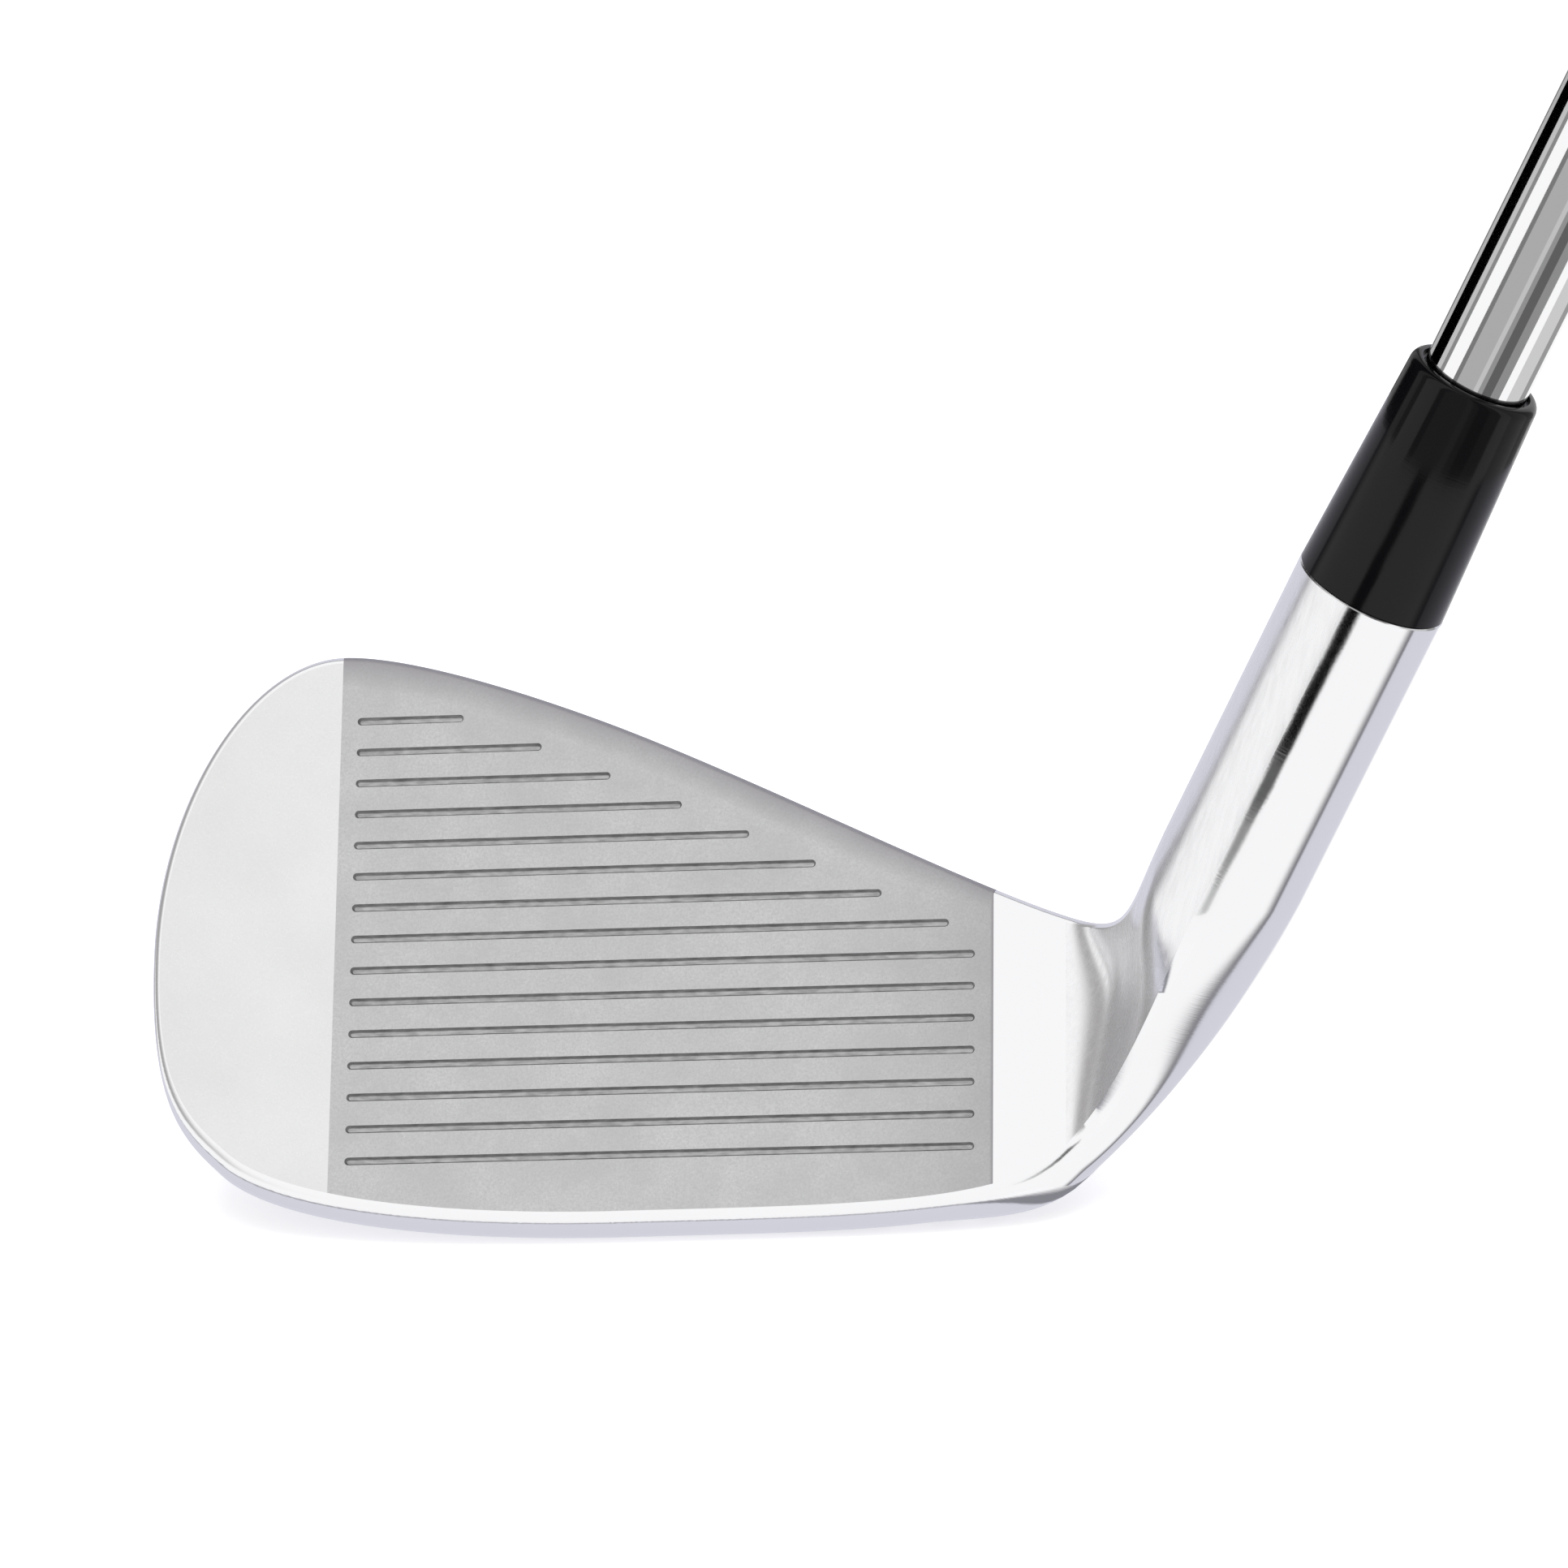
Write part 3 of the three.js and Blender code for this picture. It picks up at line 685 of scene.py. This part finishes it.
def rounded(profile, radius, cells=4):
    """The closed profile with its corners rounded off."""
    corners = np.array(profile, float)
    points = []
    for before, corner, after in zip(np.roll(corners, 1, axis=0), corners, np.roll(corners, -1, axis=0)):
        back, ahead = before - corner, after - corner
        long_back, long_ahead = np.linalg.norm(back), np.linalg.norm(ahead)
        reach = min(radius, 0.4 * long_back, 0.4 * long_ahead)
        start, end = corner + back / long_back * reach, corner + ahead / long_ahead * reach
        for t in np.linspace(0, 1, cells + 1):
            points.append((1 - t) ** 2 * start + 2 * t * (1 - t) * corner + t * t * end)
    return np.array(points)


def turned_piece(name, profile, material, node, segments=128):
    """A closed profile of (radius, along) turned round the axis."""
    profile = np.asarray(profile, float)
    angles = 2 * math.pi * np.arange(segments) / segments
    points = on_axis(profile[:, :1], angles[None, :], profile[:, 1:]).reshape(-1, 3)
    faces = ring_faces(len(profile), segments, closed=True)
    make_piece(name, points, faces, [material], replaces=[node])


def shaft_radius(step):
    return lerp(TIP_RADIUS, BUTT_RADIUS, step / STEP_COUNT)


def build_shaft(material):
    outside = [(TIP_RADIUS, SHAFT_FOOT)]
    for step in range(STEP_COUNT):
        start = FIRST_STEP + step * STEP_PITCH
        outside += [(shaft_radius(step), start), (shaft_radius(step + 1), start + STEP_LENGTH)]
    outside.append((BUTT_RADIUS, SHAFT_BUTT))
    last_step = FIRST_STEP + (STEP_COUNT - 1) * STEP_PITCH + STEP_LENGTH
    inside = [
        (BUTT_RADIUS - BUTT_WALL, SHAFT_BUTT),
        (BUTT_RADIUS - BUTT_WALL, last_step),
        (TIP_RADIUS - TIP_WALL, FIRST_STEP),
        (TIP_RADIUS - TIP_WALL, SHAFT_FOOT),
    ]
    profile = rounded(outside + inside, CORNER_ROUNDING)
    turned_piece("shaft_visual", profile, material, "shaft")


def build_ferrule(material):
    foot = HOSEL_TOP + FIT_GAP
    head = foot + FERRULE_LENGTH
    inner = TIP_RADIUS + 0.06
    lip_width, lip_height = 0.75, 0.9
    shoulder = head - lip_height
    profile = [(inner, foot), (FERRULE_FOOT_RADIUS, foot), (FERRULE_HEAD_RADIUS, shoulder)]
    for turn in np.radians(range(15, 91, 15)):
        radius = FERRULE_HEAD_RADIUS - lip_width * (1 - math.cos(turn))
        profile.append((radius, shoulder + lip_height * math.sin(turn)))
    # a small recess where the shaft comes out
    profile += [(inner + 0.3, head), (inner + 0.22, head - 0.12)]
    profile += [(inner + 0.2, head - 0.5), (inner, head - 0.55)]
    turned_piece("ferrule_visual", profile, material, "ferrule")


def build_band(material):
    step = (BAND_START - FIRST_STEP) // STEP_PITCH + 1
    clear, rounding = 0.02, 0.08
    inner = shaft_radius(step) + clear
    outer = inner + BAND_THICKNESS
    end = BAND_START + BAND_LENGTH
    profile = rounded([(inner, BAND_START), (outer, BAND_START), (outer, end), (inner, end)], rounding)
    turned_piece("band_visual", profile, material, "shaft_band")


def build_cap(material):
    seat = SHAFT_BUTT + FIT_GAP
    vent, spigot, outer, plug = 1.3, 6.4, 13.3, 5
    profile = rounded([
        (vent, seat - plug), (spigot, seat - plug), (spigot, seat), (outer - 0.2, seat),
        (outer, seat + 1.2), (outer - 0.5, CLUB_LENGTH - 1.6), (outer - 2.6, CLUB_LENGTH),
        (4.4, CLUB_LENGTH), (4.0, CLUB_LENGTH - 0.5), (3.2, CLUB_LENGTH - 0.5), (2.8, CLUB_LENGTH),
        (vent, CLUB_LENGTH),
    ], CORNER_ROUNDING)
    turned_piece("cap_visual", profile, material, "grip_end_cap")


def grip_radius(along):
    """The grip widens from its mouth to a flared butt."""
    waist = GRIP_MOUTH + GRIP_LENGTH * 0.55
    places = (GRIP_MOUTH, waist, SHAFT_BUTT - 30, SHAFT_BUTT - 6, SHAFT_BUTT)
    return float(np.interp(along, places, (9.2, 10.6, 12.0, 12.9, 12.9)))


def build_grip(material):
    """The grip's sleeve, with plain collars and rows of moulded lozenges sunk between them."""
    inner = BUTT_RADIUS + 0.4
    segments, row_pitch, groove = 168, 0.5, 0.15
    mouth, butt = grip_radius(GRIP_MOUTH), grip_radius(SHAFT_BUTT)
    # rows of (radius, along, share of the pattern)
    rows = [
        (inner, GRIP_MOUTH, 0), (mouth - 0.9, GRIP_MOUTH, 0),
        (mouth - 0.3, GRIP_MOUTH + 0.25, 0), (mouth, GRIP_MOUTH + 0.9, 0),
    ]
    for along in np.arange(GRIP_MOUTH + 1.4, SHAFT_BUTT - 0.4, row_pitch):
        rows.append((grip_radius(along), along, grip_pattern_share(along)))
    rows += [(butt, SHAFT_BUTT - 0.2, 0), (inner, SHAFT_BUTT, 0)]
    profile = np.array(rows)
    angles = 2 * math.pi * np.arange(segments) / segments
    around, along = np.meshgrid(angles, profile[:, 1])
    leaning = []
    for side in (1, -1):
        place = around * LOZENGES_ROUND / (2 * math.pi) + side * along / (2 * LOZENGE_PITCH)
        leaning.append(abs(place % 1 - 0.5))
    sunk = LOZENGE_DEPTH * (1 - smooth(np.minimum(*leaning) / groove)) * profile[:, 2:]
    points = on_axis(profile[:, :1] - sunk, around, along).reshape(-1, 3)
    faces = ring_faces(len(profile), segments, closed=True)
    make_piece("grip_visual", points, faces, [material], ["grip_sleeve"], smooth_angle=50)


def grip_pattern_share(along):
    """1 on the patterned stretches of the grip and 0 on its plain collars."""
    fade = 2
    share = 0
    for start, end in ((GRIP_MOUTH + 9, GRIP_MOUTH + 118), (GRIP_MOUTH + 128, SHAFT_BUTT - 34)):
        share = max(share, min(smooth((along - start) / fade), smooth((end - along) / fade)))
    return share


# ------------ materials
def add_node(tree, kind, sockets, **settings):
    """A node whose sockets are linked to other nodes or set to values."""
    node = tree.nodes.new(kind)
    for key, value in settings.items():
        setattr(node, key, value)
    for socket, source in sockets.items():
        if isinstance(source, bpy.types.NodeSocket):
            tree.links.new(source, node.inputs[socket])
        else:
            node.inputs[socket].default_value = source
    return node


class Finish:
    """A node material, with the few kinds of procedural variation that the club's surfaces need."""

    def __init__(self, name, color, roughness, metallic=0.0, **constants):
        self.material = bpy.data.materials.new(name)
        self.material.use_nodes = True
        self.tree = self.material.node_tree
        self.shader = self.tree.nodes["Principled BSDF"]
        self.shader.inputs["Metallic"].default_value = metallic
        self.shader.inputs["Roughness"].default_value = roughness
        self.shader.inputs["Base Color"].default_value = (*color, 1)
        for socket, value in constants.items():
            self.shader.inputs[socket.replace("_", " ")].default_value = value
        self.place = self.tree.nodes.new("ShaderNodeTexCoord").outputs["Object"]
        self.normal = None

    def node(self, kind, sockets, **settings):
        return add_node(self.tree, kind, sockets, **settings)

    def noise(self, scale, stretch=(1, 1, 1), turn=(0, 0, 0), detail=2.0, rough=0.5):
        """Noise with its grain drawn out along some of the axes, after a turn."""
        turned = self.node("ShaderNodeMapping", {"Vector": self.place, "Rotation": turn})
        drawn = self.node("ShaderNodeMapping", {"Vector": turned.outputs[0], "Scale": stretch})
        settings = {"Vector": drawn.outputs[0], "Scale": scale, "Detail": detail, "Roughness": rough}
        return self.node("ShaderNodeTexNoise", settings).outputs["Fac"]

    def ramp(self, value, low, high, to_low, to_high):
        """The value mapped from low..high to to_low..to_high and held inside it."""
        node = self.node("ShaderNodeMapRange", {0: value, 1: low, 2: high, 3: to_low, 4: to_high})
        return node.outputs[0]

    def mix(self, share, low, high):
        node = self.node("ShaderNodeMix", {0: share, 6: low, 7: high}, data_type="RGBA")
        return node.outputs[2]

    def vary(self, noise, low, high):
        """A value that goes from low to high with the noise."""
        return self.ramp(noise, 0.3, 0.7, low, high)

    def tint(self, noise, low, high):
        """A colour that goes from low to high with the noise."""
        return self.mix(self.vary(noise, 0, 1), low, high)

    def math(self, operation, first, second=0.0):
        return self.node("ShaderNodeMath", {0: first, 1: second}, operation=operation).outputs[0]

    def along(self, direction, origin):
        """The place along a direction, in millimetres from the axis's foot."""
        dot = self.node("ShaderNodeVectorMath", {0: self.place, 1: direction}, operation="DOT_PRODUCT")
        millimetres = self.math("DIVIDE", dot.outputs["Value"], MM)
        return self.math("ADD", millimetres, origin)

    def topline(self, x):
        """How high up the face the topline lies at x, as a polynomial through its curve."""
        places = np.linspace(BLAST_TOE, BLAST_HEEL, 12)
        factors = np.polyfit(places, [crossing(UPPER_EDGE, place)[0][1] for place in places], 4)
        value = self.math("ADD", 0.0, factors[0])
        for factor in factors[1:]:
            value = self.math("ADD", self.math("MULTIPLY", value, x), factor)
        return value

    def color(self, source):
        self.tree.links.new(source, self.shader.inputs["Base Color"])

    def roughness(self, source):
        self.tree.links.new(source, self.shader.inputs["Roughness"])

    def bump(self, height, distance):
        """Adds relief; distance is in metres."""
        sockets = {"Height": height, "Distance": distance, "Strength": 1.0}
        if self.normal is not None:
            sockets["Normal"] = self.normal
        self.normal = self.node("ShaderNodeBump", sockets).outputs[0]
        self.tree.links.new(self.normal, self.shader.inputs["Normal"])


def grey(value):
    return (value, value, value, 1)


LEAN = -(math.pi / 2 - LIE)  # turns the shaft's axis upright
ALONG_AXIS = (0, LEAN, 0)
ON_FACE_TURN = (-(math.pi / 2 - LOFT), 0, 0)


def polished_steel():
    finish = Finish("steel_polished", (0.86, 0.86, 0.87), 0.16, 1)
    rings = finish.noise(700, (0.5, 0.5, 9), ALONG_AXIS, detail=3)
    fine = finish.noise(2600, (0.25, 0.25, 4), ALONG_AXIS, detail=2)
    broad = finish.noise(60, detail=3)
    finish.bump(rings, 0.000005)
    finish.bump(fine, 0.000002)
    finish.roughness(finish.vary(broad, 0.1, 0.15))
    return finish.material


def brushed_steel():
    finish = Finish("steel_brushed", (0.86, 0.86, 0.87), 0.27, 1)
    strokes = finish.noise(2600, (1, 1, 0.06), (0, LEAN / 2, 0), detail=3)
    finish.roughness(finish.vary(strokes, 0.22, 0.32))
    finish.bump(strokes, 0.0000035)
    return finish.material


def satin_steel():
    finish = Finish("steel_satin", (0.86, 0.86, 0.87), 0.3, 1)
    grain = finish.noise(5200, detail=3)
    broad = finish.noise(90, detail=4)
    finish.color(finish.tint(broad, grey(0.75), grey(0.8)))
    finish.roughness(finish.vary(grain, 0.26, 0.36))
    finish.bump(grain, 0.000004)
    return finish.material


def blasted_steel():
    """Blasted steel, with painted shade in a soft band under the topline and towards the heel, and darker
    in a thin rim at the heel.
    """
    finish = Finish("steel_blasted", (0.6, 0.6, 0.6), 0.5, 1)
    grain = finish.noise(4200, detail=4, rough=0.7)
    cloud = finish.noise(150, detail=5, rough=0.65)
    base = finish.mix(finish.ramp(cloud, 0.35, 0.65, 0, 1), (0.655, 0.655, 0.66, 1), grey(0.765))
    worn = finish.mix(finish.ramp(grain, 0.25, 0.75, 0, 1), grey(0.515), base)
    x = finish.along((1, 0, 0), ORIGIN[0])
    up_face = finish.along(FACE_UP, (ORIGIN - FACE_LEAD * FRONT) @ FACE_UP)
    under_top = finish.math("SUBTRACT", finish.topline(x), up_face)
    # how dark, over stretches in millimetres: the band of painted shade under the topline, the rim, and a
    # wide painted shade towards the heel
    painted_topline_shade = finish.ramp(under_top, -0.6, 2.6, 0.62, 0)
    rim = finish.ramp(x, BLAST_HEEL - 0.45, BLAST_HEEL - 0.1, 0, 0.6)
    painted_heel_shade = finish.ramp(x, BLAST_HEEL - 11, BLAST_HEEL, 0, 0.22)
    dark = finish.math("MAXIMUM", finish.math("MAXIMUM", painted_topline_shade, rim), painted_heel_shade)
    # the painted shade darkens the blasted steel towards a lavender grey
    finish.color(finish.mix(dark, worn, (0.27, 0.25, 0.27, 1)))
    finish.roughness(finish.vary(grain, 0.42, 0.55))
    finish.bump(grain, 0.000022)
    return finish.material


def scored_steel_shaded():
    # the dark grey of the score lines' walls and floor is painted shade in the grooves
    finish = Finish("steel_scored_painted_shade", (0.35, 0.35, 0.36), 0.4, 1)
    grain = finish.noise(3000, (0.3, 1, 1), detail=3)
    finish.color(finish.tint(grain, grey(0.32), grey(0.52)))
    finish.bump(grain, 0.000008)
    return finish.material


def chromed_steel():
    finish = Finish("chrome", (0.93, 0.93, 0.94), 0.05, 1)
    drawn = finish.noise(1500, (1, 1, 0.02), ALONG_AXIS, detail=2)
    haze = finish.noise(40, detail=4)
    finish.roughness(finish.ramp(haze, 0.3, 0.75, 0.035, 0.07))
    finish.bump(drawn, 0.0000006)
    return finish.material


def gloss_black():
    finish = Finish("ferrule_black", (0.003, 0.003, 0.0035), 0.12, 0, IOR=1.3)
    polish = finish.noise(900, (0.3, 0.3, 6), ALONG_AXIS, detail=3)
    haze = finish.noise(120, detail=4)
    finish.roughness(finish.vary(haze, 0.1, 0.17))
    finish.bump(polish, 0.000003)
    return finish.material


def rubber(name, color, roughness, grain_scale, relief):
    finish = Finish(name, color, roughness, 0)
    grain = finish.noise(grain_scale, detail=3)
    cloud = finish.noise(70, detail=4)
    dark = tuple(0.7 * c for c in color) + (1,)
    finish.color(finish.tint(cloud, dark, (*color, 1)))
    finish.roughness(finish.vary(grain, roughness - 0.08, roughness + 0.08))
    finish.bump(grain, relief)
    return finish.material


def brushed_aluminium():
    finish = Finish("badge_aluminium", (0.6, 0.63, 0.66), 0.32, 1)
    lines = finish.noise(1800, (0.04, 1, 1), ON_FACE_TURN, detail=3)
    finish.color(finish.tint(lines, (0.5, 0.53, 0.57, 1), (0.66, 0.69, 0.72, 1)))
    finish.roughness(finish.vary(lines, 0.25, 0.4))
    finish.bump(lines, 0.000006)
    return finish.material


def foil():
    finish = Finish("foil", (0.72, 0.74, 0.78), 0.25, 1)
    crease = finish.noise(500, (1, 1, 0.2), ALONG_AXIS, detail=3)
    finish.roughness(finish.vary(crease, 0.2, 0.34))
    finish.bump(crease, 0.000004)
    return finish.material


def brass():
    finish = Finish("brass", (0.71, 0.56, 0.3), 0.3, 1)
    turning = finish.noise(1200, (0.1, 0.1, 5), ALONG_AXIS, detail=2)
    finish.roughness(finish.vary(turning, 0.24, 0.4))
    finish.bump(turning, 0.000006)
    return finish.material


def resin():
    finish = Finish("resin", (0.5, 0.38, 0.14), 0.35, 0)
    cloud = finish.noise(300, detail=4)
    finish.color(finish.tint(cloud, (0.42, 0.3, 0.1, 1), (0.56, 0.44, 0.2, 1)))
    finish.bump(cloud, 0.00002)
    return finish.material


def paper_tape():
    finish = Finish("paper_tape", (0.7, 0.63, 0.48), 0.85, 0)
    crepe = finish.noise(900, (0.3, 0.3, 3), ALONG_AXIS, detail=3)
    finish.color(finish.tint(crepe, (0.6, 0.53, 0.38, 1), (0.76, 0.7, 0.56, 1)))
    finish.bump(crepe, 0.00005)
    return finish.material


# ------------ camera and studio
# solved from the photo: angles in radians, places in millimetres, the lens for a 36 mm sensor
CAMERA_AZIMUTH = 0.137906
CAMERA_ELEVATION = 0.387477
CAMERA_ROLL = 0.08333
CAMERA_DISTANCE = 682.4
CAMERA_TARGET = np.array([-20.55, -4.4, 45.9])
CAMERA_LENS = 178.25
TOWARD = np.array([
    -math.sin(CAMERA_AZIMUTH) * math.cos(CAMERA_ELEVATION),
    math.cos(CAMERA_AZIMUTH) * math.cos(CAMERA_ELEVATION),
    -math.sin(CAMERA_ELEVATION),
])


def build_camera():
    right = np.array([math.cos(CAMERA_AZIMUTH), math.sin(CAMERA_AZIMUTH), 0])
    up = np.cross(right, TOWARD)
    cos, sin = math.cos(CAMERA_ROLL), math.sin(CAMERA_ROLL)
    rolled_right, rolled_up = cos * right - sin * up, sin * right + cos * up
    place = placed(CAMERA_TARGET - TOWARD * CAMERA_DISTANCE)[0]
    data = bpy.data.cameras.new("camera")
    data.lens = CAMERA_LENS
    data.sensor_width = 36
    data.clip_start = 0.01
    camera = bpy.data.objects.new("camera", data)
    turn = Matrix((rolled_right, rolled_up, -TOWARD)).transposed()
    camera.matrix_world = Matrix.Translation(place) @ turn.to_4x4()
    bpy.context.scene.collection.objects.link(camera)
    bpy.context.scene.camera = camera


def emitter(name, level):
    material = bpy.data.materials.new(name)
    material.use_nodes = True
    tree = material.node_tree
    tree.nodes.remove(tree.nodes["Principled BSDF"])
    light = add_node(tree, "ShaderNodeEmission", {"Color": grey(level)})
    tree.links.new(light.outputs[0], tree.nodes["Material Output"].inputs[0])
    return material


def only_reflected(thing):
    for ray in ("camera", "diffuse", "transmission", "shadow"):
        setattr(thing, f"visible_{ray}", False)


# Strips hung beside the shaft and the hosel, seen only as reflections: the stretch of the round
# in degrees that mirrors each one towards the camera, and its brightness
SHAFT_STRIPS = [
    (183, 178, 0.62), (178, 173, 0.15), (173, 163, 0.46), (163, 144.5, 0.0), (144.5, 138, 0.56),
    (138, 133, 0.26), (133, 118, 1.0), (118, 113, 0.2), (113, 93, 0.43), (93, 88, 0.56),
    (88, 83, 0.3), (83, 73, 0.12), (73, 63, 0.28), (63, 53, 1.0), (53, 34, 0.63), (34, 23, 0.33),
    (23, 3, 1.0),
]
STRIP_FOOT, STRIP_HEAD = 89, 640
STRIP_REACH = 32
# the dark streak down the hosel and the ferrule: its middle and half widths in degrees, and the
# (foot, head, level) of its parts
STREAK_MIDDLE = 100
STREAK_THIN, STREAK_WIDE = 1.5, 4.4
STREAK_RAGGED = 1.5
STREAK_GROWTH = 2.4  # its full width comes this many times sooner than its head
STREAK_STEP = 0.3
STREAK_PARTS = ((33, 40, 0.55), (40, 47, 0.3), (47, 54, 0.12), (54, 89, 0.0))


def mirrored(radius, angle, along):
    """Where a ray from the camera, mirrored by a round bar on the axis, is after STRIP_REACH."""
    normal = on_axis(1, math.radians(angle), 0)
    ray = TOWARD - 2 * (TOWARD @ normal) * normal
    return on_axis(radius, math.radians(angle), along) + STRIP_REACH * ray


def hang_strips():
    for index, (start, end, level) in enumerate(SHAFT_STRIPS):
        places = ((start, STRIP_FOOT), (end, STRIP_FOOT), (end, STRIP_HEAD), (start, STRIP_HEAD))
        corners = [mirrored(TIP_RADIUS, *place) for place in places]
        hang_reflector(f"shaft_strip_{index}", corners, [(0, 1, 2, 3)], level)


def hang_reflector(name, corners, faces, level):
    strip = add_mesh(name, corners, faces, [emitter(name, level)])
    only_reflected(strip)


def hang_streak():
    """The hosel's dark streak, with ragged edges, thinner and paler towards its foot."""
    rng = np.random.default_rng(5)
    foot, head = STREAK_PARTS[0][0], STREAK_PARTS[-1][1]
    for index, (low, high, level) in enumerate(STREAK_PARTS):
        places = np.arange(low, high + 0.1, STREAK_STEP)
        growth = smooth((places - foot) / (head - foot) * STREAK_GROWTH)
        half = lerp(STREAK_THIN, STREAK_WIDE, growth)
        ragged = rng.uniform(-STREAK_RAGGED, STREAK_RAGGED, (2, len(places)))
        corners = []
        for along, reach, (left, right) in zip(places, half, ragged.T):
            corners.append(mirrored(HOSEL_RADIUS, STREAK_MIDDLE + reach + left, along))
            corners.append(mirrored(HOSEL_RADIUS, STREAK_MIDDLE - reach + right, along))
        faces = [(2 * i, 2 * i + 1, 2 * i + 3, 2 * i + 2) for i in range(len(places) - 1)]
        hang_reflector(f"hosel_streak_{index}", corners, faces, level)


STUDIO_WHITE = (1.08, 1.08, 1.08, 1)
LAVENDER = (0.73, 0.73, 0.81, 1)
DARK_GAP = (0.16, 0.155, 0.17, 1)  # between the white studio in front and the lavender behind
TOE_GREY = (0.42, 0.41, 0.41, 1)
TABLE_EDGE = (0.26, 0.26, 0.29, 1)


def build_world():
    """White to the camera, and a studio of soft areas to everything that mirrors it."""
    world = bpy.data.worlds.new("studio")
    world.use_nodes = True
    tree = world.node_tree
    direction = tree.nodes.new("ShaderNodeTexCoord").outputs["Generated"]

    def along(vector):
        dot = add_node(tree, "ShaderNodeVectorMath", {0: direction, 1: vector}, operation="DOT_PRODUCT")
        return dot.outputs["Value"]

    def step(value, low, high):
        sockets = {0: value, 1: low, 2: high}
        ramp = add_node(tree, "ShaderNodeMapRange", sockets, interpolation_type="SMOOTHSTEP")
        return ramp.outputs[0]

    def mix(share, low, high):
        node = add_node(tree, "ShaderNodeMix", {0: share, 6: low, 7: high}, data_type="RGBA")
        return node.outputs[2]

    behind = along((0.28, 1, 0))
    color = mix(step(behind, -0.2, 0.09), STUDIO_WHITE, DARK_GAP)
    color = mix(step(behind, 0.08, 0.12), color, LAVENDER)
    toeward = step(along((-1, 0, 0)), 0.3, 0.8)
    above = step(along((0, 0, 1)), 0.2, 0.4)
    toe_side = add_node(tree, "ShaderNodeMath", {0: toeward, 1: above}, operation="MULTIPLY")
    color = mix(toe_side.outputs[0], color, TOE_GREY)
    color = mix(step(along((0.1, 0.87, -0.47)), 0.965, 0.985), color, STUDIO_WHITE)
    camera_ray = tree.nodes.new("ShaderNodeLightPath").outputs["Is Camera Ray"]
    color = mix(camera_ray, color, (1, 1, 1, 1))
    tree.links.new(color, tree.nodes["Background"].inputs["Color"])
    bpy.context.scene.world = world


def build_floor():
    half = 3000
    corners = [(-half, -half, 0), (half, -half, 0), (half, half, 0), (-half, half, 0)]
    finish = Finish("floor_paper", (0.85, 0.85, 0.85), 0.9, 0, Emission_Strength=0.45)
    finish.shader.inputs["Emission Color"].default_value = (1, 1, 1, 1)
    floor = add_mesh("floor", corners, [(0, 1, 2, 3)], [finish.material])
    floor.visible_glossy = False


def build_table():
    """The lavender table top that the head mirrors, with a dark front edge that turns in near the
    heel. Only reflections see it."""
    front, rear, toe, heel, height = -30, 85, -400, 4, -0.2
    corners = [(toe, front, height), (heel, front, height), (heel, rear, height), (toe, rear, height)]
    finish = Finish("table_top", (0, 0, 0), 1, 0, Emission_Strength=1)
    turn_in = finish.ramp(finish.along((1, 0, 0), ORIGIN[0]), -8, heel, 0, 24)
    depth = finish.math("SUBTRACT", finish.along((0, 1, 0), 0.0), turn_in)
    edge = finish.mix(finish.ramp(depth, -26, -20, 0, 1), STUDIO_WHITE, TABLE_EDGE)
    tone = finish.mix(finish.ramp(depth, -14.5, -13, 0, 1), edge, LAVENDER)
    finish.tree.links.new(tone, finish.shader.inputs["Emission Color"])
    table = add_mesh("table", corners, [(0, 1, 2, 3)], [finish.material])
    only_reflected(table)


def build_light():
    data = bpy.data.lights.new("overhead", "AREA")
    data.shape = "SQUARE"
    data.size = 1.2
    data.energy = 12
    light = bpy.data.objects.new("overhead", data)
    light.location = placed((0, -300, 1500))[0]
    light.rotation_euler = (math.radians(-12), 0, 0)
    light.visible_camera = False
    light.visible_glossy = False
    bpy.context.scene.collection.objects.link(light)


# ------------ the scene
def repaint(node, material):
    """Gives a CAD node that stays its own finish."""
    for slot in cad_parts[node].material_slots:
        slot.material = material


bpy.context.scene.view_settings.view_transform = "Standard"
build_camera()
build_world()
build_floor()
build_table()
build_light()
hang_strips()
hang_streak()

build_head([polished_steel(), satin_steel(), blasted_steel(), scored_steel_shaded(), brushed_steel()])
build_badge(brushed_aluminium())
build_shaft(chromed_steel())
build_ferrule(gloss_black())
build_band(foil())
build_grip(rubber("grip_rubber", (0.03, 0.03, 0.032), 0.65, 2400, 0.00003))
build_cap(rubber("cap_rubber", (0.035, 0.035, 0.037), 0.55, 1500, 0.00002))
repaint("hosel_epoxy", resin())
repaint("tip_weight", brass())
repaint("grip_tape", paper_tape())
repaint("badge_pad", rubber("foam_tape", (0.08, 0.08, 0.085), 0.85, 1800, 0.00005))
